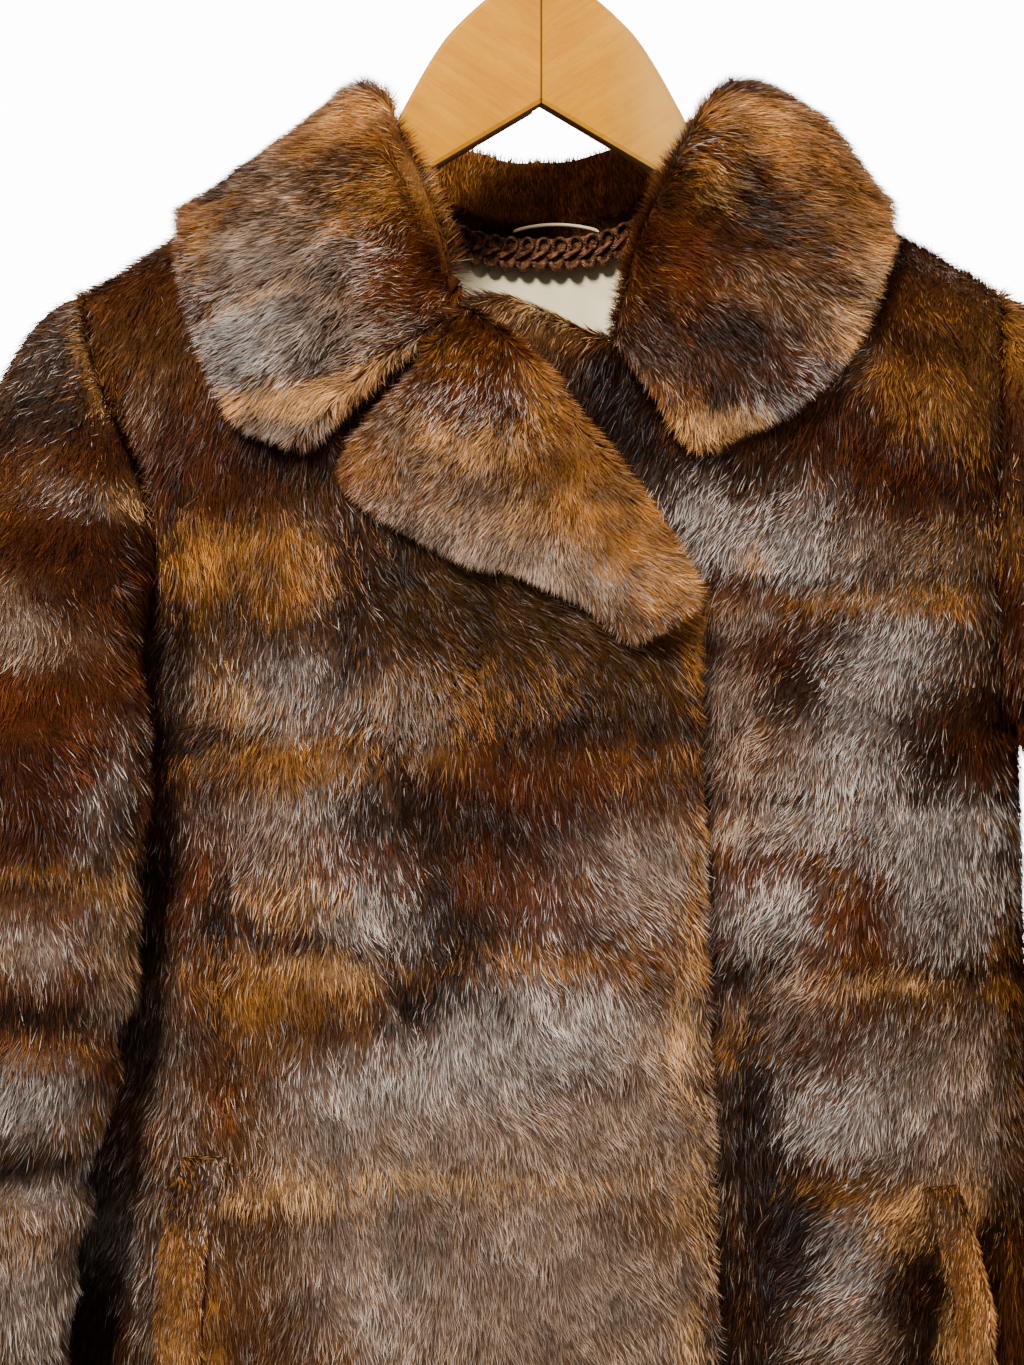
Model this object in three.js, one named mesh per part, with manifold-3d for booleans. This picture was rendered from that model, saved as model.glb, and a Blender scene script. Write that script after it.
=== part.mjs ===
// A long fur coat with a fold-down collar, hung open on a plain wooden hanger.
// Millimetres, +Z up, the coat's front towards -Y, its wearer's right towards -X.
// The origin is the inside top of the hanger's hook, where a rail would carry it.

import * as THREE from "three";
import Module from "manifold-3d";
import { mergeVertices } from "three/addons/utils/BufferGeometryUtils.js";

const wasm = await Module();
wasm.setup();

// ---------------------------------------------------------------- driving sizes
const HIDE = 6; // tanned skin with its dense underfur
const SEAM = 0.3; // gap between pieces sewn to each other
const SLIVER = 0.02; // edges shorter than this are merged after a cut
const RIGHT = -1; // the wearer's right side
const LEFT = 1;

const HEM_Z = -1060;
const SHOULDER = { peak: -79.9, slope: 0.6, round: 40 };
const NECK = { halfWidth: 76, backZ: -168, curve: 2.5 };
const SQUARENESS = 2.3; // 2 is an ellipse, more is squarer
const YOKE_DROP = { front: 110, back: 90 }; // shoulder seam down to full depth
const LAP = 11; // the right front lies this far over the left front
const LAP_FROM = -150;
const LAP_WIDTH = 72;

// Rings of the body, from the yoke down.
const BODY = [
  { z: -100, halfWidth: 222, front: 90, back: 66 },
  { z: -420, halfWidth: 222, front: 92, back: 70 },
  { z: -560, halfWidth: 226, front: 96, back: 78 },
  { z: -720, halfWidth: 240, front: 104, back: 92 },
  { z: -900, halfWidth: 266, front: 118, back: 112 },
  { z: -1060, halfWidth: 292, front: 132, back: 130 },
];

// Free front edges: how far each front reaches past the middle.
const RIGHT_FRONT_EDGE = [
  { z: -100, x: 63 },
  { z: -352, x: 63 },
  { z: -686, x: 71 },
  { z: -1060, x: 82 },
];
const LEFT_FRONT_EDGE = [
  { z: -100, x: -62 },
  { z: -1060, x: -70 },
];

// Top edges of the fronts inside the shoulder seam: neck seam, then roll line or free edge.
const RIGHT_FRONT_TOP = [
  { x: -76, z: -131 },
  { x: -67, z: -158 },
  { x: -57, z: -184 },
  { x: -47, z: -212 },
  { x: -40, z: -235 },
  { x: -8, z: -258 },
  { x: 28, z: -306 },
  { x: 63, z: -354 },
];
const LEFT_FRONT_TOP = [
  { x: -62, z: -240 },
  { x: -34, z: -228 },
  { x: -17, z: -226 },
  { x: 4, z: -236 },
  { x: 34, z: -248 },
  { x: 44, z: -222 },
  { x: 55, z: -190 },
  { x: 66, z: -160 },
  { x: 76, z: -131 },
];

// Armhole seams, as distance from the middle at each height.
const ARMHOLE = {
  [RIGHT]: [
    { z: -200, x: 216 },
    { z: -235, x: 209 },
    { z: -265, x: 197 },
    { z: -300, x: 180 },
    { z: -335, x: 171 },
    { z: -370, x: 175 },
    { z: -395, x: 191 },
    { z: -408, x: 208 },
    { z: -415, x: 222 },
  ],
  [LEFT]: [
    { z: -200, x: 216 },
    { z: -235, x: 213 },
    { z: -265, x: 210 },
    { z: -300, x: 207 },
    { z: -335, x: 205 },
    { z: -370, x: 207 },
    { z: -395, x: 212 },
    { z: -408, x: 217 },
    { z: -415, x: 222 },
  ],
};
const ARMHOLE_TOP_Z = -211.5;
const UNDERARM_Z = -415;

// Rings of each sleeve below the armhole: centre, half sizes, and how far it is turned forward.
const SLEEVE = {
  [RIGHT]: [
    { z: -450, x: 244, y: -74, halfWidth: 84, halfDepth: 46, turn: 36 },
    { z: -530, x: 249, y: -78, halfWidth: 83, halfDepth: 44, turn: 36 },
    { z: -620, x: 266, y: -80, halfWidth: 80, halfDepth: 42, turn: 37 },
    { z: -700, x: 271, y: -82, halfWidth: 76, halfDepth: 40, turn: 38 },
    { z: -772, x: 274, y: -84, halfWidth: 73, halfDepth: 38, turn: 39 },
  ],
  [LEFT]: [
    { z: -450, x: 278, y: -32, halfWidth: 84, halfDepth: 46, turn: 58 },
    { z: -530, x: 280, y: -36, halfWidth: 83, halfDepth: 44, turn: 59 },
    { z: -620, x: 287, y: -42, halfWidth: 80, halfDepth: 42, turn: 60 },
    { z: -700, x: 294, y: -48, halfWidth: 76, halfDepth: 40, turn: 61 },
    { z: -772, x: 300, y: -54, halfWidth: 73, halfDepth: 38, turn: 62 },
  ],
};
// How the sleeve head leaves the armhole seam, at its four quarters.
const SLEEVE_HEAD = [
  { quarter: 0, out: 150, forward: 10, up: -25 },
  { quarter: 1, out: 25, forward: 95, up: -40 },
  { quarter: 2, out: 20, forward: 6, up: -30 },
  { quarter: 3, out: 120, forward: -85, up: -20 },
];

// Collar, as stations from the right notch round the back to the left end: the neck seam, the
// crest of the roll, and the outer edge. A drop is measured down from the shoulder line over
// the front (negative) or the back (positive).
const COLLAR = [
  { seamX: -41, seamDrop: -104, crestX: -37, crestY: -99, crestZ: -230, edgeX: -103, edgeDrop: -140, puff: 3 },
  { seamX: -47, seamDrop: -96, crestX: -41, crestY: -97, crestZ: -208, edgeX: -127, edgeDrop: -112, puff: 4 },
  { seamX: -57, seamDrop: -62, crestX: -50, crestY: -86, crestZ: -180, edgeX: -143, edgeDrop: -72, puff: 4 },
  { seamX: -67, seamDrop: -31, crestX: -60, crestY: -66, crestZ: -153, edgeX: -153, edgeDrop: -33, puff: 3 },
  { seamX: -74, seamDrop: -9, crestX: -71, crestY: -36, crestZ: -128, edgeX: -158, edgeDrop: -8, puff: 1 },
  { seamX: -76, seamDrop: 1, crestX: -83, crestY: 2, crestZ: -112, edgeX: -157, edgeDrop: 1, puff: 1 },
  { seamX: -72, seamDrop: 6, crestX: -80, crestY: 34, crestZ: -114, edgeX: -146, edgeDrop: 14, puff: 4 },
  { seamX: -50, seamDrop: 38, crestX: -56, crestY: 62, crestZ: -122, edgeX: -112, edgeDrop: 52, puff: 5 },
  { seamX: -25, seamDrop: 58, crestX: -28, crestY: 74, crestZ: -129, edgeX: -60, edgeDrop: 88, puff: 5 },
  { seamX: 0, seamDrop: 64, crestX: 2, crestY: 77, crestZ: -132, edgeX: 0, edgeDrop: 106, puff: 5 },
  { seamX: 25, seamDrop: 58, crestX: 30, crestY: 74, crestZ: -128, edgeX: 60, edgeDrop: 88, puff: 5 },
  { seamX: 50, seamDrop: 38, crestX: 60, crestY: 62, crestZ: -121, edgeX: 112, edgeDrop: 52, puff: 6 },
  { seamX: 72, seamDrop: 6, crestX: 88, crestY: 34, crestZ: -114, edgeX: 146, edgeDrop: 14, puff: 8 },
  { seamX: 76, seamDrop: -1, crestX: 98, crestY: 0, crestZ: -112, edgeX: 156, edgeDrop: -1, puff: 9 },
  { seamX: 74, seamDrop: -9, crestX: 80, crestY: -38, crestZ: -124, edgeX: 157, edgeDrop: -12, puff: 6 },
  { seamX: 66, seamDrop: -33, crestX: 64, crestY: -66, crestZ: -152, edgeX: 147, edgeDrop: -42, puff: 5 },
  { seamX: 55, seamDrop: -69, crestX: 50, crestY: -86, crestZ: -182, edgeX: 127, edgeDrop: -82, puff: 5 },
  { seamX: 44, seamDrop: -107, crestX: 38, crestY: -97, crestZ: -212, edgeX: 106, edgeDrop: -118, puff: 4 },
  { seamX: 36, seamDrop: -124, crestX: 31, crestY: -99, crestZ: -240, edgeX: 68, edgeDrop: -159, puff: 3 },
];
const COLLAR_LIFT = 10.5; // outer face of the fall over the cloth below it

// Turned revers of the right front: the roll edge and the outer edge, from notch to break.
const REVERS = [
  { rollX: -33, rollZ: -234, outerX: -48, outerZ: -254 },
  { rollX: -20, rollZ: -243, outerX: -79, outerZ: -296 },
  { rollX: -6, rollZ: -257, outerX: -68, outerZ: -320 },
  { rollX: 10, rollZ: -278, outerX: -44, outerZ: -333 },
  { rollX: 26, rollZ: -299, outerX: -14, outerZ: -338 },
  { rollX: 44, rollZ: -323, outerX: 14, outerZ: -348 },
  { rollX: 60, rollZ: -348, outerX: 44, outerZ: -362 },
];

// Largest folds, as ridges (+) and troughs (-) that start at a height and run to the hem.
const FOLDS = [
  { panel: "front_right", x: -150, drift: -0.03, from: -400, fade: 230, width: 24, height: 15 },
  { panel: "front_right", x: -194, drift: -0.05, from: -560, fade: 260, width: 22, height: -9 },
  { panel: "front_right", x: -60, drift: -0.02, from: -640, fade: 400, width: 45, height: 8 },
  { panel: "front_left", x: 94, drift: 0.05, from: -470, fade: 170, width: 20, height: -15 },
  { panel: "front_left", x: 140, drift: 0.07, from: -520, fade: 240, width: 28, height: 12 },
  { panel: "front_left", x: 210, drift: 0.1, from: -600, fade: 300, width: 26, height: 9 },
  { panel: "front_left", x: 36, drift: 0, from: -236, fade: 30, width: 34, height: -6 },
  { panel: "back", x: -128, drift: -0.1, from: -430, fade: 330, width: 32, height: 17 },
  { panel: "back", x: -52, drift: -0.04, from: -520, fade: 330, width: 34, height: -13 },
  { panel: "back", x: 26, drift: 0.02, from: -380, fade: 420, width: 38, height: 15 },
  { panel: "back", x: 98, drift: 0.07, from: -560, fade: 300, width: 30, height: -12 },
  { panel: "back", x: 168, drift: 0.12, from: -470, fade: 330, width: 30, height: 14 },
];

// Fur-faced edges of the slit pockets.
const POCKET = {
  [RIGHT]: [
    { z: -600, x: -150 },
    { z: -640, x: -157 },
    { z: -755, x: -162 },
  ],
  [LEFT]: [
    { z: -616, x: 180 },
    { z: -666, x: 194 },
    { z: -772, x: 195 },
  ],
};
const POCKET_EDGE = { width: 15, thickness: 5, rows: 7 };

const LINING = { thickness: 1.6, gap: 2.6, hemRise: 25, skirtRows: 6 };
const BRAID = { below: 2.5, height: 20, thickness: 3, gap: 4.5, reach: 62, steps: 18 };
const LOOP = { thickness: 1.6, fromX: -13, toX: 29, z: -171.5, rise: 3.5, y: 50 };

// Wooden hanger: half outlines of the top and the underside, from the middle out.
const HANGER_TOP = [
  { x: 0, z: -60 },
  { x: 14, z: -63 },
  { x: 26, z: -72 },
  { x: 37, z: -82 },
  { x: 45, z: -91 },
  { x: 54, z: -105 },
  { x: 65, z: -125 },
  { x: 71, z: -140 },
  { x: 80, z: -146 },
  { x: 196, z: -210.5 },
];
const HANGER = { apexZ: -119, slope: 0.6, tip: 201, thickness: 12, edge: 2.5, lap: 4 };
const HOOK = { wire: 4, inside: 20, shankTop: -46, foot: -59.6, turn: 235 };

const COLUMNS = { front: 17, back: 22 };
const ROWS = { yoke: 6, skirt: 12 };

// ---------------------------------------------------------------- looks
const looks = {
  fur: { color: 0x5a3220, roughness: 0.85, metalness: 0 },
  satin: { color: 0xc9c2ab, roughness: 0.45, metalness: 0 },
  braid: { color: 0x2c1712, roughness: 0.6, metalness: 0 },
  wood: { color: 0xb9812f, roughness: 0.4, metalness: 0 },
  steel: { color: 0xb4b6b8, roughness: 0.25, metalness: 1 },
};
const coat = new THREE.Group();

function addPiece(name, geometry, look) {
  const mesh = new THREE.Mesh(geometry, new THREE.MeshStandardMaterial(looks[look]));
  mesh.name = name;
  coat.add(mesh);
}

// ---------------------------------------------------------------- tables and curves
/** Reads a column of a table between its rows, the rows being in order of `key`. */
function read(rows, key, value, column) {
  const rising = rows[rows.length - 1][key] > rows[0][key];
  const after = rows.findIndex((row) => (rising ? row[key] >= value : row[key] <= value));
  if (after < 0) {
    return rows[rows.length - 1][column];
  }
  if (after === 0) {
    return rows[0][column];
  }
  const low = rows[after - 1];
  const high = rows[after];
  const share = (value - low[key]) / (high[key] - low[key]);
  return THREE.MathUtils.lerp(low[column], high[column], share);
}

function signedPower(value, power) {
  return Math.sign(value) * Math.abs(value) ** power;
}

function shoulderLine(x) {
  return SHOULDER.peak - SHOULDER.slope * Math.hypot(x, SHOULDER.round);
}

function smooth(value) {
  return THREE.MathUtils.smoothstep(value, 0, 1);
}

// ---------------------------------------------------------------- the body's surface
/** A point of the unfolded body: the angle runs from the left side seam (0) to the right (pi). */
function bareBody(panel, angle, z) {
  const half = read(BODY, "z", z, "halfWidth");
  const face = panel === "back" ? "back" : "front";
  const x = half * signedPower(Math.cos(angle), 2 / SQUARENESS);
  const drop = THREE.MathUtils.clamp((shoulderLine(x) - z) / YOKE_DROP[face], 0, 1);
  const yoke = Math.sqrt(1 - (1 - drop) ** 2);
  const lap = panel === "front_right" ? LAP * smooth((x - LAP_FROM) / LAP_WIDTH) : 0;
  const depth = read(BODY, "z", z, face) + lap;
  const y = depth * signedPower(Math.sin(angle), 2 / SQUARENESS) * yoke;
  return new THREE.Vector3(x, face === "back" ? y : -y, z);
}

function foldHeight(panel, x, z) {
  let height = 0;
  for (const fold of FOLDS) {
    if (fold.panel === panel) {
      const middle = fold.x + fold.drift * (fold.from - z);
      const growth = smooth((fold.from - z) / fold.fade);
      height += fold.height * growth * Math.exp(-(((x - middle) / fold.width) ** 2));
    }
  }
  return height;
}

/** A point of a panel's outer face, moved out along its normal by `lift`. */
function panelPoint(panel, angle, z, lift = 0) {
  const point = bareBody(panel, angle, z);
  const below = Math.min(z, shoulderLine(point.x) - 2);
  const step = 0.002;
  const across = bareBody(panel, angle + step, below).sub(bareBody(panel, angle - step, below));
  const down = bareBody(panel, angle, below - 0.2).sub(bareBody(panel, angle, below));
  const normal = across.cross(down).normalize();
  if (panel === "back") {
    normal.negate();
  }
  const sideFade = smooth(Math.sin(angle) * 2.2);
  point.addScaledVector(normal, lift + foldHeight(panel, point.x, z) * sideFade);
  return point;
}

function angleAt(x, z) {
  const share = THREE.MathUtils.clamp(x / read(BODY, "z", z, "halfWidth"), -1, 1);
  return Math.acos(signedPower(share, SQUARENESS / 2));
}

/** A point over a panel at a given place in the front view. */
function over(panel, x, z, lift = 0) {
  return panelPoint(panel, angleAt(x, z), z, lift);
}

/** A point over the yoke, found by its drop from the shoulder line. */
function overYoke(x, drop, lift) {
  const front = x < 0 ? "front_right" : "front_left";
  return over(drop < 0 ? front : "back", x, shoulderLine(x) - Math.abs(drop), lift);
}

// ---------------------------------------------------------------- walls
function surfaceGeometry(points, triangles) {
  const flat = points.flatMap((point) => point.toArray());
  const geometry = new THREE.BufferGeometry();
  geometry.setAttribute("position", new THREE.Float32BufferAttribute(flat, 3));
  geometry.setIndex(triangles);
  return geometry;
}

/** Closes two grids of points, an outer and an inner face, into one wall. */
function wall(outer, inner, ring = false) {
  const rows = outer.length;
  const columns = outer[0].length;
  const points = [...outer.flat(), ...inner.flat()];
  const triangles = [];
  const half = rows * columns;
  const quad = (a, b, c, d) => triangles.push(a, b, c, a, c, d);
  const at = (row, column) => row * columns + (column % columns);
  const spans = ring ? columns : columns - 1;
  for (let row = 0; row < rows - 1; row += 1) {
    for (let column = 0; column < spans; column += 1) {
      const a = at(row, column);
      const b = at(row, column + 1);
      const c = at(row + 1, column + 1);
      const d = at(row + 1, column);
      quad(a, b, c, d);
      quad(half + a, half + d, half + c, half + b);
    }
  }
  for (let column = 0; column < spans; column += 1) {
    const top = [at(0, column), at(0, column + 1)];
    const foot = [at(rows - 1, column), at(rows - 1, column + 1)];
    quad(top[1], top[0], half + top[0], half + top[1]);
    quad(foot[0], foot[1], half + foot[1], half + foot[0]);
  }
  for (let row = 0; row < rows - 1 && !ring; row += 1) {
    const start = [at(row, 0), at(row + 1, 0)];
    const end = [at(row, columns - 1), at(row + 1, columns - 1)];
    quad(start[0], start[1], half + start[1], half + start[0]);
    quad(end[1], end[0], half + end[0], half + end[1]);
  }
  if (signedVolume(points, triangles) < 0) {
    triangles.reverse();
  }
  return surfaceGeometry(points, triangles);
}

function signedVolume(points, triangles) {
  let volume = 0;
  for (let index = 0; index < triangles.length; index += 3) {
    const [a, b, c] = triangles.slice(index, index + 3).map((corner) => points[corner]);
    volume += a.dot(b.clone().cross(c)) / 6;
  }
  return volume;
}

/** Moves a grid's points along its own normals. */
function moved(grid, distance, ring = false) {
  return grid.map((line, row) =>
    line.map((point, column) => {
      const count = line.length;
      const before = ring ? (column + count - 1) % count : Math.max(column - 1, 0);
      const after = ring ? (column + 1) % count : Math.min(column + 1, count - 1);
      const above = grid[Math.max(row - 1, 0)][column];
      const below = grid[Math.min(row + 1, grid.length - 1)][column];
      const across = line[after].clone().sub(line[before]);
      const normal = across.cross(below.clone().sub(above)).normalize();
      return point.clone().addScaledVector(normal, distance);
    }),
  );
}

// ---------------------------------------------------------------- booleans
function solid(geometry) {
  const bare = geometry.clone();
  bare.deleteAttribute("normal");
  bare.deleteAttribute("uv");
  const merged = mergeVertices(bare, 1e-4);
  const vertProperties = new Float32Array(merged.attributes.position.array);
  const triVerts = new Uint32Array(merged.index.array);
  return new wasm.Manifold(new wasm.Mesh({ numProp: 3, vertProperties, triVerts }));
}

/** A solid's mesh, with the slivers that a cut leaves along its edge merged away. */
function geometryOf(body) {
  const mesh = body.simplify(SLIVER).getMesh();
  const geometry = new THREE.BufferGeometry();
  geometry.setAttribute("position", new THREE.BufferAttribute(mesh.vertProperties, 3));
  geometry.setIndex(new THREE.BufferAttribute(mesh.triVerts, 1));
  return geometry;
}

function largest(body) {
  return body.decompose().sort((a, b) => b.volume() - a.volume())[0];
}

/** The space of an armhole, as its outline run straight through the coat from front to back. */
function armholeSpace(side, margin = 0) {
  const outline = ARMHOLE[side].map((row) => new THREE.Vector2(side * (row.x - margin), row.z));
  outline.push(new THREE.Vector2(side * 300, UNDERARM_Z), new THREE.Vector2(side * 300, -200));
  const depth = 400;
  const space = new THREE.ExtrudeGeometry(new THREE.Shape(outline), { depth, bevelEnabled: false });
  space.rotateX(Math.PI / 2).translate(0, depth / 2, -margin);
  return solid(space);
}

// ---------------------------------------------------------------- fronts and back
const PANELS = {
  back: { columns: COLUMNS.back, from: () => 0, to: () => Math.PI },
  front_right: {
    columns: COLUMNS.front,
    from: (z) => angleAt(read(RIGHT_FRONT_EDGE, "z", z, "x"), z),
    to: () => Math.PI,
  },
  front_left: {
    columns: COLUMNS.front,
    from: () => 0,
    to: (z) => angleAt(read(LEFT_FRONT_EDGE, "z", z, "x"), z),
  },
};

function neckLine(x) {
  const rise = shoulderLine(NECK.halfWidth) - NECK.backZ;
  return NECK.backZ + rise * (Math.abs(x) / NECK.halfWidth) ** NECK.curve;
}

function topEdge(panel, x) {
  if (panel === "back") {
    return Math.abs(x) < NECK.halfWidth ? neckLine(x) : shoulderLine(x);
  }
  const table = panel === "front_right" ? RIGHT_FRONT_TOP : LEFT_FRONT_TOP;
  const outside = panel === "front_right" ? x < table[0].x : x > table[table.length - 1].x;
  return outside ? shoulderLine(x) : read(table, "x", x, "z");
}

/** Heights down one column: close over the yoke's curve, even below it. */
function columnHeights(panel, top) {
  const yokeDrop = YOKE_DROP[panel === "back" ? "back" : "front"];
  const heights = [];
  for (let row = 0; row <= ROWS.yoke; row += 1) {
    heights.push(top - yokeDrop * (1 - Math.cos((row / ROWS.yoke) * (Math.PI / 2))));
  }
  const start = heights[ROWS.yoke];
  for (let row = 1; row <= ROWS.skirt; row += 1) {
    heights.push(THREE.MathUtils.lerp(start, HEM_Z, row / ROWS.skirt));
  }
  return heights;
}

/** Keeps a panel's point on its own side of the seam between front and back. */
function behindSeam(panel, point) {
  const edge = SEAM / 2;
  point.y = panel === "back" ? Math.max(point.y, edge) : Math.min(point.y, -edge);
  return point;
}

function panelGrid(panel, lift) {
  const { columns, from, to } = PANELS[panel];
  const lines = [];
  for (let column = 0; column <= columns; column += 1) {
    const share = column / columns;
    const angleFor = (z) => THREE.MathUtils.lerp(from(z), to(z), share);
    const topX = bareBody(panel, angleFor(-200), -200).x;
    const heights = columnHeights(panel, topEdge(panel, topX));
    lines.push(heights.map((z) => behindSeam(panel, panelPoint(panel, angleFor(z), z, lift))));
  }
  return lines;
}

function panelSolid(panel, outerLift, innerLift, armholeMargin) {
  const cloth = solid(wall(panelGrid(panel, outerLift), panelGrid(panel, innerLift)));
  const sides = { back: [RIGHT, LEFT], front_right: [RIGHT], front_left: [LEFT] }[panel];
  const spaces = sides.map((side) => armholeSpace(side, armholeMargin));
  return largest(spaces.reduce((rest, space) => rest.subtract(space), cloth));
}

const panels = {};
for (const panel of Object.keys(PANELS)) {
  panels[panel] = panelSolid(panel, 0, -HIDE, 0);
  addPiece(panel, geometryOf(panels[panel]), "fur");
}

// ---------------------------------------------------------------- sleeves
const SLEEVE_STEPS = { around: 18, head: 5, arm: 5 };

function armholePoint(side, turn) {
  const middle = (ARMHOLE_TOP_Z + UNDERARM_Z) / 2;
  const z = middle + (ARMHOLE_TOP_Z - middle) * Math.cos(turn);
  const x = side * read(ARMHOLE[side], "z", z, "x");
  const front = side === RIGHT ? "front_right" : "front_left";
  return over(Math.sin(turn) > 0 ? front : "back", x, z);
}

/** The sleeve head's heading at the seam, blended from its four quarters. */
function headHeading(side, turn) {
  const quarter = (turn / (Math.PI / 2)) % 4;
  const low = SLEEVE_HEAD[Math.floor(quarter)];
  const high = SLEEVE_HEAD[(Math.floor(quarter) + 1) % 4];
  const share = smooth(quarter % 1);
  const mix = (column) => THREE.MathUtils.lerp(low[column], high[column], share);
  return new THREE.Vector3(side * mix("out"), -mix("forward"), mix("up"));
}

function sleevePoint(side, turn, z) {
  const ring = (column) => read(SLEEVE[side], "z", z, column);
  const lean = THREE.MathUtils.degToRad(ring("turn"));
  const along = ring("halfWidth") * Math.sin(turn);
  const out = -ring("halfDepth") * Math.cos(turn);
  const x = side * (ring("x") - along * Math.cos(lean) - out * Math.sin(lean));
  const y = ring("y") - along * Math.sin(lean) + out * Math.cos(lean);
  return new THREE.Vector3(x, y, z);
}

function hermite(start, startWay, end, endWay, share) {
  const squared = share ** 2;
  const cubed = share ** 3;
  return new THREE.Vector3()
    .addScaledVector(start, 2 * cubed - 3 * squared + 1)
    .addScaledVector(startWay, cubed - 2 * squared + share)
    .addScaledVector(end, 3 * squared - 2 * cubed)
    .addScaledVector(endWay, cubed - squared);
}

function sleeveGrid(side) {
  const rows = [];
  const firstZ = SLEEVE[side][0].z;
  const cuffZ = SLEEVE[side][SLEEVE[side].length - 1].z;
  const { around } = SLEEVE_STEPS;
  const turns = Array.from({ length: around }, (_, step) => (step / around) * 2 * Math.PI);
  for (let row = 0; row <= SLEEVE_STEPS.head; row += 1) {
    rows.push(
      turns.map((turn) => {
        const start = armholePoint(side, turn);
        const heading = headHeading(side, turn);
        start.addScaledVector(heading.clone().normalize(), 2 * SEAM);
        const end = sleevePoint(side, turn, firstZ);
        const fall = new THREE.Vector3(0, 0, -Math.min(190, 0.95 * (start.z - end.z)));
        return hermite(start, heading, end, fall, row / SLEEVE_STEPS.head);
      }),
    );
  }
  for (let row = 1; row <= SLEEVE_STEPS.arm; row += 1) {
    const z = THREE.MathUtils.lerp(firstZ, cuffZ, row / SLEEVE_STEPS.arm);
    rows.push(turns.map((turn) => sleevePoint(side, turn, z)));
  }
  return rows;
}

for (const [name, side, front] of [
  ["sleeve_right", RIGHT, "front_right"],
  ["sleeve_left", LEFT, "front_left"],
]) {
  const grid = sleeveGrid(side);
  const inner = moved(grid, side * HIDE, true);
  const roomOf = (panel) => panelSolid(panel, SEAM, -HIDE - 2, -SEAM);
  const bodyRoom = roomOf(front).add(roomOf("back"));
  addPiece(name, geometryOf(largest(solid(wall(grid, inner, true)).subtract(bodyRoom))), "fur");
}

// ---------------------------------------------------------------- collar and revers
const COLLAR_STEPS = { along: 27, across: 8 };

/** The collar's section at a station: neck seam, stand, crest of the roll, fall and edge. */
function collarControls(row) {
  const crest = new THREE.Vector3(row.crestX, row.crestY, row.crestZ);
  const seam = overYoke(row.seamX, row.seamDrop, -HIDE / 2);
  const edge = overYoke(row.edgeX, row.edgeDrop, COLLAR_LIFT);
  const outward = edge.clone().sub(overYoke(row.edgeX, row.edgeDrop, 0)).normalize();
  const fall = crest.clone().lerp(edge, 0.42).addScaledVector(outward, row.puff);
  const drop = Math.max(shoulderLine(fall.x) - fall.z, 0);
  const laid = overYoke(fall.x, Math.sign(row.edgeDrop) * drop, COLLAR_LIFT + row.puff);
  fall.y = row.edgeDrop < 0 ? Math.min(fall.y, laid.y) : Math.max(fall.y, laid.y);
  return [seam, crest, fall, edge];
}

function collarGrid() {
  const controls = COLLAR.map(collarControls);
  const trackOf = (track) => new THREE.CatmullRomCurve3(controls.map((line) => line[track]));
  const tracks = controls[0].map((_, track) => trackOf(track));
  const grid = [];
  for (let step = 0; step <= COLLAR_STEPS.along; step += 1) {
    const section = tracks.map((track) => track.getPoint(step / COLLAR_STEPS.along));
    grid.push(new THREE.CatmullRomCurve3(section).getPoints(COLLAR_STEPS.across));
  }
  return grid;
}

const collarFace = collarGrid();
const neckRoom = Object.keys(PANELS)
  .map((panel) => panelSolid(panel, SEAM, -HIDE - 1, 0))
  .flatMap((room) => [room, room.translate([0, 0, 2 * SEAM])])
  .reduce((all, room) => all.add(room));
const collar = solid(wall(collarFace, moved(collarFace, HIDE))).subtract(neckRoom);
addPiece("collar", geometryOf(largest(collar)), "fur");

/** A pad on a panel between two edges, thickest in the middle. */
function reversGrid(lift, crown) {
  const grid = [];
  const across = 6;
  for (const row of REVERS) {
    const line = [];
    for (let step = 0; step <= across; step += 1) {
      const share = step / across;
      const x = THREE.MathUtils.lerp(row.rollX, row.outerX, share);
      const z = THREE.MathUtils.lerp(row.rollZ, row.outerZ, share);
      line.push(over("front_right", x, z, lift + crown * Math.sin(Math.PI * (0.15 + 0.7 * share))));
    }
    grid.push(line);
  }
  return grid;
}
addPiece("revers_right", wall(reversGrid(4, 8), reversGrid(1, 3)), "fur");

// ---------------------------------------------------------------- pocket edges
for (const [name, side, panel] of [
  ["pocket_edge_right", RIGHT, "front_right"],
  ["pocket_edge_left", LEFT, "front_left"],
]) {
  const table = POCKET[side];
  const { width, thickness, rows } = POCKET_EDGE;
  const face = (lift, crown) =>
    Array.from({ length: rows + 1 }, (_, row) => {
      const z = THREE.MathUtils.lerp(table[0].z, table[table.length - 1].z, row / rows);
      const edge = read(table, "z", z, "x");
      const shares = [0, 0.5, 1];
      return shares.map((share) => over(panel, edge - side * width * share, z, lift + crown * (1 - share)));
    });
  addPiece(name, wall(face(3, thickness - 2), face(1.5, 0)), "fur");
}

// ---------------------------------------------------------------- lining, braid and loop
/** The lining follows the back's own columns, one in from each side seam. */
function liningGrid(lift) {
  const grid = [];
  for (let column = 1; column < COLUMNS.back; column += 1) {
    const angle = (column / COLUMNS.back) * Math.PI;
    const topX = bareBody("back", angle, -200).x;
    const heights = columnHeights("back", topEdge("back", topX) - LINING.gap * 4);
    const yoke = heights.slice(0, ROWS.yoke);
    const skirt = Array.from({ length: LINING.skirtRows + 1 }, (_, row) =>
      THREE.MathUtils.lerp(heights[ROWS.yoke], HEM_Z + LINING.hemRise, row / LINING.skirtRows),
    );
    grid.push([...yoke, ...skirt].map((z) => panelPoint("back", angle, z, lift)));
  }
  return grid;
}
const liningOut = -HIDE - LINING.gap;
const liningWall = solid(wall(liningGrid(liningOut), liningGrid(liningOut - LINING.thickness)));
const liningCut = liningWall.subtract(armholeSpace(RIGHT, 8)).subtract(armholeSpace(LEFT, 8));
addPiece("lining_back", geometryOf(largest(liningCut)), "satin");

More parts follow.
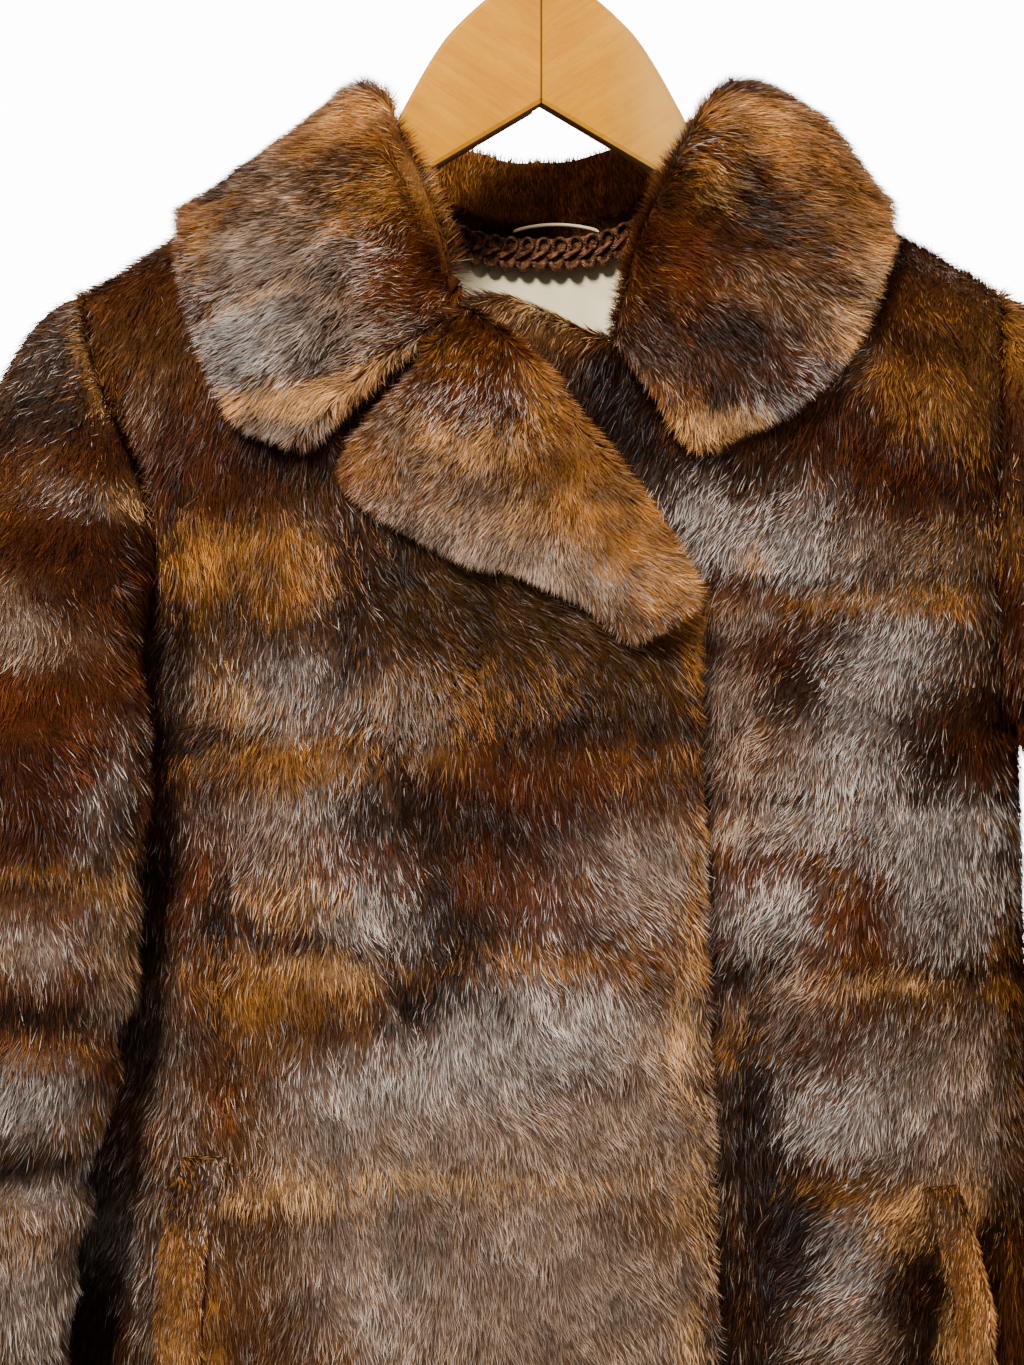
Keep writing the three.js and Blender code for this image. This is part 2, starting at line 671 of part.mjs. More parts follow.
function braidGrid(lift) {
  return Array.from({ length: BRAID.steps + 1 }, (_, step) => {
    const x = THREE.MathUtils.lerp(BRAID.reach, -BRAID.reach, step / BRAID.steps);
    const top = neckLine(x) - BRAID.below;
    return [top, top - BRAID.height].map((z) => over("back", x, z, lift));
  });
}
const braidOut = liningOut - LINING.thickness - BRAID.gap;
addPiece("neck_braid", wall(braidGrid(braidOut), braidGrid(braidOut - BRAID.thickness)), "braid");

function roundBar(points, diameter, steps, sides) {
  const path = new THREE.CatmullRomCurve3(points);
  const section = new THREE.Shape(
    Array.from({ length: sides }, (_, side) => {
      const turn = (side / sides) * 2 * Math.PI;
      return new THREE.Vector2(Math.cos(turn), Math.sin(turn)).multiplyScalar(diameter / 2);
    }),
  );
  return new THREE.ExtrudeGeometry(section, { steps, extrudePath: path });
}

const loopPoints = Array.from({ length: 7 }, (_, step) => {
  const share = step / 6;
  const x = THREE.MathUtils.lerp(LOOP.fromX, LOOP.toX, share);
  return new THREE.Vector3(x, LOOP.y, LOOP.z + LOOP.rise * Math.sin(Math.PI * share) ** 0.7);
});
addPiece("neck_loop", roundBar(loopPoints, LOOP.thickness, 12, 6), "satin");

// ---------------------------------------------------------------- hanger
/** One arm: its edges are rounded, and the two arms meet in a lap joint that shows as one upright line. */
function hangerArm(side) {
  const outline = new THREE.Shape();
  const inset = HANGER.edge;
  outline.moveTo(-side * inset * 2, HANGER.apexZ + inset * 1.2);
  outline.lineTo(-side * inset * 2, HANGER_TOP[0].z - inset);
  const top = HANGER_TOP.slice(1).map((row) => new THREE.Vector2(side * (row.x - 1), row.z - inset));
  outline.splineThru(top.slice(0, 6));
  for (const point of top.slice(6)) {
    outline.lineTo(point.x, point.y);
  }
  const underside = (x) => HANGER.apexZ - HANGER.slope * x + inset * 1.2;
  outline.lineTo(side * (HANGER.tip - inset), (underside(HANGER.tip) + top[top.length - 1].y) / 2);
  outline.lineTo(side * (HANGER.tip - inset - 4), underside(HANGER.tip - 4));
  outline.closePath();
  const arm = new THREE.ExtrudeGeometry(outline, {
    depth: HANGER.thickness - 2 * HANGER.edge,
    bevelThickness: HANGER.edge,
    bevelSize: HANGER.edge,
    bevelSegments: 2,
    curveSegments: 4,
  });
  const blank = solid(arm.rotateX(Math.PI / 2).translate(0, HANGER.thickness / 2 - HANGER.edge, 0));
  const lap = side === LEFT ? SEAM / 2 - HANGER.lap : SEAM / 2 + HANGER.lap;
  const rear = blank.trimByPlane([side, 0, 0], lap);
  const front = blank.trimByPlane([side, 0, 0], SEAM / 2);
  if (side === LEFT) {
    return geometryOf(front.add(rear.trimByPlane([0, 1, 0], 0)));
  }
  return geometryOf(rear.add(front.trimByPlane([0, -1, 0], SEAM)));
}
addPiece("hanger_arm_right", hangerArm(RIGHT), "wood");
addPiece("hanger_arm_left", hangerArm(LEFT), "wood");

const hookRadius = HOOK.inside + HOOK.wire / 2;
const hookPoints = [new THREE.Vector3(0, 0, HOOK.foot), new THREE.Vector3(0, 0, HOOK.shankTop - 6)];
for (let step = 0; step <= 9; step += 1) {
  const turn = THREE.MathUtils.degToRad(-62 + (step / 9) * HOOK.turn);
  hookPoints.push(new THREE.Vector3(hookRadius * Math.cos(turn), 0, hookRadius * Math.sin(turn) - HOOK.inside));
}
addPiece("hanger_hook", roundBar(hookPoints, HOOK.wire, 28, 8), "steel");

export default coat;
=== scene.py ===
# A long fur coat on a plain wooden hanger: fur panels grown with guard hair, satin lining,
# a gimp braid at the neck and a wood and steel hanger. The tables are in millimetres, in the
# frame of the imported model: +Z up, the coat's front towards -Y, its wearer's right towards -X.
import math

import bpy
import numpy as np
from bpy.props import FloatProperty, FloatVectorProperty, IntProperty, PointerProperty
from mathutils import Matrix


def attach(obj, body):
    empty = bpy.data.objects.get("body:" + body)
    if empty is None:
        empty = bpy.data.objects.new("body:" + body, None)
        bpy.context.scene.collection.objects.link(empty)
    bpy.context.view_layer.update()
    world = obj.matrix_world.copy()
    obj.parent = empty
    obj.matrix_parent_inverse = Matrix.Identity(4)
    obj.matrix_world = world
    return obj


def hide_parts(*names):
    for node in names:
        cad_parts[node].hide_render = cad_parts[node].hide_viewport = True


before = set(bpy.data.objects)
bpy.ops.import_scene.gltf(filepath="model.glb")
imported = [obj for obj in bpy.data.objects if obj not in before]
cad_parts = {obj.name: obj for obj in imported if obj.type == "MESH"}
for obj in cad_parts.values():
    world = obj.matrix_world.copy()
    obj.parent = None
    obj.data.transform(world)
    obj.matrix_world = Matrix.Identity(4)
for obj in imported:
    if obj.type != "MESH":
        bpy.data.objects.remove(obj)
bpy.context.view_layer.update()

bl_info = {
    "name": "Fur Coat on a Hanger",
    "version": (1, 0, 0),
    "blender": (4, 5, 0),
    "location": "View3D > Sidebar > Fur Coat",
    "description": "Builds a fur coat with its lining, neck braid and hanger",
    "category": "Object",
}

# ------------------------------------------------------------------ the body's form
MM = 0.001
HEM_Z = -1060.0
HALF_NECK = 76.0
NECK_Z = -168.0
SQUARENESS = 2.3  # 2 is an ellipse, more is squarer
YOKE_DROP = {"front": 110.0, "back": 90.0}
UNDERARM_Z = -415.0
ARMHOLE_TOP_Z = -211.5

# height, half width, front depth, back depth
BODY = np.array([
    (-1060, 292, 132, 130), (-900, 266, 118, 112), (-720, 240, 104, 92),
    (-560, 226, 96, 78), (-420, 222, 92, 70), (-100, 222, 90, 66),
])
# height, distance of the free front edge from the middle
FRONT_EDGE = {
    "front_right": np.array([(-1060, 82), (-686, 71), (-352, 63), (-100, 63)]),
    "front_left": np.array([(-1060, -70), (-100, -62)]),
}
# across, height of the top edge inside the shoulder seam
FRONT_TOP = {
    "front_right": np.array([
        (-76, -131), (-67, -158), (-57, -184), (-47, -212), (-40, -235), (-8, -258), (28, -306), (63, -354),
    ]),
    "front_left": np.array([
        (-62, -240), (-34, -228), (-17, -226), (4, -236), (34, -248), (44, -222), (55, -190), (66, -160),
        (76, -131),
    ]),
}
# height, distance of the armhole seam from the middle
ARMHOLE = {
    -1: np.array([
        (-415, 222), (-408, 208), (-395, 191), (-370, 175), (-335, 171), (-300, 180), (-265, 197),
        (-235, 209), (-200, 216),
    ]),
    1: np.array([
        (-415, 222), (-408, 217), (-395, 212), (-370, 207), (-335, 205), (-300, 207), (-265, 210),
        (-235, 213), (-200, 216),
    ]),
}
# Sleeve rings: height, across, depth, half width, half depth, turn forward in degrees
SLEEVE = {
    -1: np.array([
        (-772, 274, -84, 73, 38, 39), (-700, 271, -82, 76, 40, 38), (-620, 266, -80, 80, 42, 37),
        (-530, 249, -78, 83, 44, 36), (-450, 244, -74, 84, 46, 36),
    ]),
    1: np.array([
        (-772, 300, -54, 73, 38, 62), (-700, 294, -48, 76, 40, 61), (-620, 287, -42, 80, 42, 60),
        (-530, 280, -36, 83, 44, 59), (-450, 278, -32, 84, 46, 58),
    ]),
}
# The sleeve head's heading off the armhole seam at its four quarters: out, forward, up
SLEEVE_HEAD = np.array([(150, 10, -25), (25, 95, -40), (20, 6, -30), (120, -85, -20), (150, 10, -25)])

# Collar stations from the right notch round the back to the left end: seam across and drop, crest,
# outer edge across and drop, puff. A drop is from the shoulder line, negative over the front.
COLLAR = np.array([
    (-41, -104, -37, -99, -230, -103, -140, 3), (-47, -96, -41, -97, -208, -127, -112, 4),
    (-57, -62, -50, -86, -180, -143, -72, 4), (-67, -31, -60, -66, -153, -153, -33, 3),
    (-74, -9, -71, -36, -128, -157, -8, 1), (-76, 1, -83, 2, -112, -157, 1, 1),
    (-72, 6, -80, 34, -114, -146, 14, 4), (-50, 38, -56, 62, -122, -112, 52, 5),
    (-25, 58, -28, 74, -129, -60, 88, 5), (0, 64, 2, 77, -132, 0, 106, 5),
    (25, 58, 30, 74, -128, 60, 88, 5), (50, 38, 60, 62, -121, 112, 52, 6),
    (72, 6, 88, 34, -114, 141, 14, 8), (76, -1, 98, 0, -112, 150, -1, 9),
    (74, -9, 80, -38, -124, 150, -12, 6), (66, -33, 64, -66, -152, 142, -42, 5),
    (55, -69, 50, -86, -182, 127, -82, 5), (44, -107, 38, -97, -212, 106, -118, 4),
    (36, -124, 31, -99, -240, 68, -159, 3),
], float)
COLLAR_LIFT = 10.5

# Revers: roll edge across and height, outer edge across and height, from notch to break
REVERS = np.array([
    (-33, -234, -50, -256), (-20, -243, -81, -297), (-6, -257, -66, -315), (10, -278, -42, -329),
    (26, -299, -16, -338), (44, -323, 14, -349), (61, -354, 38, -370),
], float)

# Folds that start at a height and run to the hem: across, drift, from, fade, width, height
FOLDS = {
    "front_right": [
        (-150, -0.03, -400, 230, 24, 15), (-194, -0.05, -560, 260, 22, -9), (-60, -0.02, -640, 400, 45, 8),
    ],
    "front_left": [
        (94, 0.05, -470, 170, 20, -15), (140, 0.07, -520, 240, 28, 12), (210, 0.1, -600, 300, 26, 9),
        (36, 0, -236, 30, 34, -6),
    ],
    "back": [
        (-128, -0.1, -430, 330, 32, 17), (-52, -0.04, -520, 330, 34, -13), (26, 0.02, -380, 420, 38, 15),
        (98, 0.07, -560, 300, 30, -12), (168, 0.12, -470, 330, 30, 14),
    ],
}
# Soft creases and swells: across, height, half length, half width, turn in degrees, rise
CREASES = {
    "front_right": [
        (-92, -362, 40, 9, 88, -3.5), (-135, -322, 36, 12, 8, 3), (-110, -425, 40, 10, 0, 3.5),
        (-139, -505, 52, 6, 88, -5), (-40, -445, 30, 9, 60, -3), (26, -428, 22, 7, 20, 3),
        (-46, -418, 20, 8, -45, 3), (-66, -520, 45, 12, 4, 3), (12, -566, 46, 8, -3, -2),
        (-118, -616, 30, 9, 30, 3), (-20, -340, 60, 16, 20, -3), (-60, -800, 80, 14, 12, -3),
        (10, -930, 70, 16, -8, 3), (-170, -880, 60, 12, 80, -3),
    ],
    "front_left": [
        (176, -270, 36, 12, -28, 5), (168, -300, 34, 10, -20, -4), (112, -328, 30, 9, 60, 3),
        (125, -383, 24, 12, -20, -4), (170, -372, 34, 16, -10, 3), (180, -428, 22, 16, 80, -3),
        (84, -448, 30, 4, 0, -3), (150, -500, 24, 9, 80, -3), (84, -525, 18, 8, 30, -4),
        (98, -560, 16, 9, 20, 3), (130, -585, 40, 12, 20, 3), (170, -820, 70, 14, -12, -3),
        (120, -930, 60, 16, 10, 3),
    ],
    "back": [
        (-120, -300, 60, 14, 62, -3), (130, -310, 60, 14, -60, -3), (0, -260, 70, 18, 4, 3),
        (-60, -640, 70, 14, 20, 3), (90, -720, 60, 16, -14, -3), (10, -900, 80, 14, 6, 3),
    ],
}
# Heights of the seams between rows of pelts, and how far each drops towards the side
PELT_SEAMS = {
    "front_right": [
        (-233, 0), (-325, 6), (-417, 5), (-508, 8), (-603, 12), (-700, 8), (-797, 6), (-893, 8), (-985, 6),
    ],
    "front_left": [
        (-240, 8), (-353, -3), (-444, 4), (-524, 0), (-612, -8), (-705, 6), (-800, 8), (-896, 6), (-988, 8),
    ],
    "back": [
        (-228, 4), (-322, 6), (-415, 8), (-508, 6), (-602, 8), (-698, 8), (-795, 6), (-892, 8), (-985, 6),
    ],
    "sleeve": [(-330, 8), (-400, 6), (-470, 8), (-541, 6), (-600, 5), (-672, 6), (-736, 4)],
}
# Creases across a sleeve: height, tilt, half width, rise
SLEEVE_CREASES = {
    -1: [
        (-470, -0.16, 7, -4), (-538, 0.03, 9, -6), (-594, 0.1, 8, -5), (-432, -0.3, 10, 3),
        (-505, 0.2, 12, 3), (-640, -0.1, 9, -3), (-700, 0.15, 10, -4),
    ],
    1: [
        (-455, 0.2, 8, -4), (-520, -0.1, 9, -5), (-590, 0.12, 9, -4), (-660, -0.14, 10, -4),
        (-716, 0.1, 9, -3),
    ],
}

# ------------------------------------------------------------------ tones of the fur
# The fur's tones, in the order of CoatColours below, and their initials for the tables
TONES = 8
# The silver tone is painted sheen: bright silvery tips that stand for light reflected by glossy guard hair. S
# marks it in the tables.
DARK, RED, BROWN, OLIVE, GINGER, PEACH, FROSTED, SILVER_SHEEN = range(TONES)
D, R, B, O, G, P, Y, S = range(TONES)
SHARPNESS = 1.5  # how strongly the main tone of a place keeps out the others

# Patches of tone: across, height, half width, half height, turn in degrees, tone, amount
FRONT_RIGHT_PATCHES = np.array([
    (-179, -206, 32, 17, 0, R, 1.3), (-170, -201, 26, 11, 0, O, 0.9), (-170, -247, 17, 19, 0, B, 1.3),
    # The dark patch at (-105, -288) is painted shadow under the collar's leaf.
    (-175, -271, 13, 13, 0, Y, 0.7), (-153, -292, 22, 17, 0, R, 1.1), (-105, -288, 39, 16, 0, D, 1.5),
    (-131, -342, 32, 15, 0, G, 1.9), (-155, -340, 9, 17, 0, G, 1.2), (-136, -375, 30, 16, 0, O, 1.2),
    (-108, -396, 27, 17, -20, S, 1.6), (-131, -403, 17, 11, 0, P, 0.7), (-154, -396, 8, 19, 0, Y, 0.8),
    (-149, -416, 19, 4, 0, D, 1.3), (-110, -429, 27, 11, 0, G, 1.9), (-112, -457, 30, 17, 0, Y, 1.3),
    (-84, -446, 18, 17, 0, S, 1.1), (-123, -457, 22, 13, 0, S, 0.5), (-75, -471, 22, 13, 0, R, 1),
    # The dark patches at (-41, -357), (11, -409) and (-71, -333) are painted shade under the revers; the
    # golden brown ones at (-28, -340), (7, -366) and (35, -392) are partly the fur's tone and partly painted
    # shade there.
    (-28, -340, 50, 19, 20, O, 2), (-41, -357, 56, 30, 15, D, 1), (11, -409, 48, 26, 0, D, 0.9),
    (-71, -333, 19, 17, 0, D, 0.9), (7, -366, 50, 16, 22, O, 1.8), (35, -392, 26, 22, 0, O, 1.3),
    # The dark stripe at (-85, -362) is painted shade in a crease.
    (-85, -362, 7, 41, 0, D, 1.6), (-57, -401, 18, 13, 0, Y, 1.7), (-23, -396, 37, 12, 0, G, 0.8),
    (37, -413, 26, 5, 0, D, 1.4), (-36, -419, 10, 15, -45, G, 1.2), (20, -432, 26, 12, 0, R, 1.4),
    (37, -431, 18, 6, 0, G, 1), (-49, -453, 27, 16, 0, D, 2), (-10, -440, 26, 16, 0, R, 1.5),
    (1, -453, 27, 8, 0, D, 1), (-32, -427, 17, 19, 0, R, 1), (42, -471, 26, 24, 0, Y, 1.5),
    (33, -474, 26, 17, 0, S, 0.7), (-19, -479, 37, 17, 0, R, 0.9), (-41, -471, 22, 17, 0, O, 0.8),
    (-48, -492, 12, 24, 0, D, 1.2), (-74, -489, 22, 19, 0, S, 1.6), (-110, -487, 26, 11, 0, P, 0.6),
    (-127, -502, 18, 8, 0, D, 1.2), (7, -513, 54, 7, 0, G, 1), (-122, -526, 26, 11, 0, G, 1.7),
    (-93, -517, 23, 6, 0, P, 1.2), (-48, -522, 27, 18, 0, D, 1.3), (8, -539, 32, 22, 0, S, 2),
    (-36, -562, 27, 22, 0, S, 1.8), (-83, -570, 27, 22, 0, S, 1.7), (43, -549, 22, 26, 0, Y, 1.5),
    (-100, -548, 26, 11, 0, B, 1.2), (-124, -536, 13, 17, 0, G, 0.9), (34, -517, 27, 8, 0, R, 0.9),
    (20, -566, 39, 5, 0, D, 1), (7, -587, 54, 18, 0, Y, 2), (-62, -587, 37, 18, 0, Y, 1.7),
    (-131, -574, 26, 30, 0, B, 1.2), (-145, -569, 9, 24, 0, R, 0.8), (-113, -587, 17, 17, 0, Y, 1),
    # The dark stripe at (-138, -524) is painted shade in a crease.
    (-138, -524, 5, 58, 0, D, 2), (-153, -487, 9, 26, 0, R, 1), (-149, -556, 6, 26, 0, R, 1),
    (-170, -535, 11, 58, 0, D, 1.2), (-170, -552, 11, 43, 0, Y, 1), (-58, -605, 45, 3, 0, P, 3),
    (-105, -613, 23, 4, -8, P, 1.6), (-131, -617, 11, 3, 0, P, 2), (7, -608, 31, 3, 6, P, 0.9),
    (-41, -644, 67, 31, 0, Y, 2.3), (24, -656, 37, 27, 0, Y, 2), (-67, -656, 27, 23, 0, S, 1),
    (-10, -630, 27, 9, 0, S, 0.8), (-28, -634, 17, 11, 0, B, 0.6), (-127, -647, 22, 36, 0, B, 1.7),
    (-149, -676, 6, 18, 0, G, 1.9), (43, -639, 17, 22, 0, B, 1.1), (66, -639, 5, 56, 0, P, 1.2),
    # The dark stripe at (-161, -366) is painted shade in the gap beside the sleeve.
    (64, -479, 4, 30, 0, G, 1.5), (63, -533, 6, 26, 0, P, 1.5), (-161, -366, 6, 65, 0, D, 2),
    (61, -383, 8, 18, 0, G, 1.6), (7, -747, 87, 39, 0, Y, 1.2), (-105, -773, 48, 39, 0, B, 1.2),
    (-54, -834, 65, 26, 0, S, 1), (-127, -855, 39, 26, 0, R, 1), (24, -877, 39, 30, 0, R, 1),
    (-49, -920, 87, 22, 0, Y, 1.2),
])
FRONT_LEFT_PATCHES = np.array([
    (154, -227, 27, 27, 0, R, 1.5), (182, -240, 30, 26, 0, G, 1.1), (133, -236, 17, 22, 0, B, 1),
    (163, -246, 18, 10, 0, D, 1), (167, -272, 31, 13, -28, G, 1.5), (176, -271, 18, 8, -28, P, 0.8),
    (165, -298, 27, 16, 0, D, 1.6), (165, -294, 27, 17, 0, R, 1.1), (138, -289, 18, 23, 0, R, 1.4),
    (124, -293, 17, 22, 0, D, 0.9), (135, -254, 13, 16, 0, S, 1.3), (68, -323, 23, 22, 0, S, 2),
    (112, -332, 18, 17, 0, S, 2), (138, -332, 17, 22, 0, Y, 1.2), (85, -301, 18, 8, 0, D, 1),
    (94, -338, 8, 6, 0, P, 1), (176, -336, 23, 17, 0, Y, 1.2), (180, -331, 22, 13, 0, G, 0.8),
    (141, -357, 27, 6, 0, G, 1), (181, -357, 17, 8, 0, G, 1), (89, -357, 17, 6, 0, R, 1),
    (154, -380, 27, 17, 0, S, 2), (121, -370, 13, 9, 0, R, 0.7), (86, -367, 18, 9, 0, Y, 1.2),
    (112, -393, 19, 12, 0, D, 2), (94, -383, 17, 10, 0, R, 1.1), (82, -397, 17, 13, 0, Y, 1.2),
    (146, -423, 36, 22, 0, S, 1.7), (94, -423, 23, 17, 0, Y, 1.3), (94, -418, 13, 13, 0, R, 0.8),
    (180, -418, 18, 20, 0, D, 1.7), (180, -420, 19, 20, 0, R, 0.8), (198, -427, 9, 26, 0, R, 1.2),
    (89, -443, 27, 2, 0, D, 2), (138, -457, 40, 14, 0, S, 1.8), (190, -458, 23, 17, 0, S, 1.5),
    (94, -457, 23, 8, 0, Y, 1.2), (138, -488, 10, 23, 0, R, 1.7), (94, -473, 27, 4, 0, R, 1.3),
    (94, -497, 23, 18, 0, S, 1.9), (181, -484, 27, 26, 0, S, 2), (120, -500, 9, 13, 0, R, 0.9),
    (79, -524, 11, 6, 0, D, 2.6), (81, -509, 6, 13, 0, R, 1.1), (154, -525, 36, 5, 0, P, 1.1),
    (185, -525, 13, 6, 0, D, 1.1), (185, -535, 13, 9, 0, B, 1), (129, -556, 13, 15, 0, R, 1.5),
    (82, -552, 12, 9, 0, G, 1.2), (112, -540, 17, 17, 0, Y, 1.2), (142, -574, 36, 22, 0, S, 1.5),
    # The dark patches at (96, -569) and (98, -644) are painted shade in the trough beside the right front's
    # edge.
    (181, -565, 27, 22, 0, Y, 1.6), (133, -591, 18, 10, 0, S, 1.2), (96, -569, 10, 37, 0, D, 1.7),
    (98, -644, 15, 50, 0, D, 2.2), (75, -595, 9, 35, 0, Y, 1), (172, -595, 31, 16, 0, Y, 1.5),
    (129, -608, 27, 8, 0, B, 1), (114, -614, 14, 6, 0, G, 0.8), (167, -621, 23, 5, 0, P, 1.6),
    (154, -639, 17, 8, 0, P, 0.8), (129, -647, 14, 24, 0, S, 1.8), (167, -666, 20, 24, 0, D, 1.8),
    (134, -683, 17, 13, 0, Y, 1.2), (185, -660, 6, 35, 0, P, 2.4), (202, -656, 7, 35, 0, D, 1.3),
    # The strong dark patch at (32, -278) is painted shadow in the hollow under the collar's right leaf.
    (3, -233, 22, 9, 0, P, 1.3), (7, -241, 26, 11, 0, B, 1.2), (32, -278, 19, 29, -20, D, 4.5),
    (20, -259, 17, 15, 0, D, 1.6), (133, -769, 69, 35, 0, Y, 1.3), (176, -834, 52, 26, 0, R, 1),
    (111, -855, 39, 26, 0, S, 1), (224, -747, 26, 39, 0, R, 1), (146, -920, 69, 22, 0, B, 1.2),
    (68, -747, 26, 52, 0, D, 1), (224, -899, 26, 26, 0, S, 1),
])
COLLAR_PATCHES = np.array([
    # The ginger and peach patches at the top of the left leaf, at (-80, -136), are partly the fur's tone and
    # partly painted highlight where light falls on the collar's crest.
    (-80, -136, 24, 11, 0, G, 2), (-82, -135, 20, 9, 0, P, 1.2), (-102, -147, 18, 13, 0, G, 1),
    (-87, -162, 17, 17, 0, D, 1.1), (-115, -170, 27, 17, 0, B, 1.3), (-115, -170, 27, 17, 0, Y, 0.9),
    (-62, -178, 23, 16, 0, G, 1.6), (-63, -176, 17, 12, 0, P, 0.8), (-53, -151, 13, 22, 0, R, 1),
    (-146, -188, 13, 11, 0, G, 1.1), (-151, -201, 8, 13, 0, P, 0.9), (-124, -201, 23, 17, 0, Y, 1.4),
    (-97, -204, 27, 13, 0, Y, 0.9), (-106, -196, 13, 6, 0, G, 0.8), (-49, -213, 23, 15, 0, R, 1.4),
    (-36, -197, 10, 13, 0, G, 1.4), (-32, -222, 9, 9, 0, R, 0.9), (-79, -210, 17, 9, 0, S, 0.8),
    (-123, -225, 20, 3, 14, P, 1.3), (-128, -245, 23, 17, 0, S, 2), (-105, -235, 17, 13, 0, Y, 1.1),
    (-92, -245, 17, 12, 0, D, 1.2), (-79, -239, 22, 13, 0, Y, 1.1), (-62, -245, 17, 8, 0, S, 0.7),
    (-111, -271, 24, 5, 0, P, 2.4), (-75, -262, 23, 5, 24, P, 1.6), (-110, -282, 27, 6, 0, Y, 1.1),
    # The ginger and peach patches at the top of the right leaf, at (99, -138), (139, -175) and (147, -185),
    # are partly the fur's tone and partly painted highlight on the crest.
    (99, -138, 23, 11, 0, G, 2.2), (101, -137, 20, 10, 0, P, 1.5), (147, -185, 13, 17, 0, P, 1),
    (113, -152, 18, 13, 0, G, 1.5), (80, -144, 10, 9, 0, B, 1.1), (139, -175, 23, 17, 0, G, 2.2),
    (148, -188, 13, 13, 0, G, 1.3), (77, -175, 11, 9, 0, P, 1.2), (68, -170, 9, 9, 0, G, 0.8),
    (100, -184, 23, 23, 0, B, 1.4), (99, -183, 20, 22, 0, D, 0.8), (90, -175, 8, 13, 0, D, 1),
    (68, -197, 23, 13, 0, R, 1.6), (60, -210, 18, 11, 0, R, 1.4), (81, -201, 9, 4, 0, D, 1),
    (113, -205, 23, 13, 0, B, 1.3), (125, -201, 9, 8, 0, D, 0.7), (143, -211, 10, 11, 0, P, 1.7),
    (142, -213, 13, 13, 0, S, 0.6), (99, -216, 27, 3, -6, Y, 1.1), (104, -231, 36, 10, 0, B, 1.5),
    (103, -231, 36, 10, 0, Y, 0.7), (86, -231, 17, 6, 0, R, 0.7), (60, -240, 23, 13, 0, D, 1.6),
    (60, -239, 22, 13, 0, R, 0.9), (87, -245, 22, 10, 0, D, 0.8), (130, -240, 8, 13, 0, P, 1.2),
    (87, -258, 31, 10, 0, R, 1.1), (86, -258, 31, 10, 0, O, 0.9), (46, -258, 10, 17, 0, B, 1),
    (46, -258, 10, 17, 0, Y, 0.6), (77, -279, 21, 6, 0, P, 2.3), (60, -275, 11, 12, 0, G, 1),
    (104, -271, 18, 9, 0, S, 1.5), (117, -253, 13, 6, 0, S, 0.8),
])
REVERS_PATCHES = np.array([
    (-27, -242, 18, 13, 0, R, 1.4), (-27, -241, 17, 13, 0, O, 0.7), (-45, -251, 17, 13, 0, G, 0.9),
    (-32, -272, 27, 15, 0, R, 0.9), (-31, -274, 24, 13, 0, S, 1), (-62, -285, 13, 13, 0, B, 1.1),
    (-62, -284, 13, 13, 0, Y, 0.6), (-70, -298, 11, 11, 0, G, 0.7), (-32, -291, 27, 9, 0, P, 1),
    (-1, -255, 10, 22, 0, G, 1.7), (20, -293, 17, 26, 0, G, 2), (34, -324, 17, 18, 0, G, 1.8),
    (8, -293, 9, 26, 0, R, 0.8), (-27, -310, 27, 8, 0, B, 1.1), (-27, -311, 26, 8, 0, Y, 0.7),
    (-5, -324, 17, 12, 0, P, 0.9), (24, -345, 27, 8, 0, Y, 1), (51, -345, 10, 17, 0, G, 1.4),
    (50, -345, 10, 13, 0, P, 0.9),
])
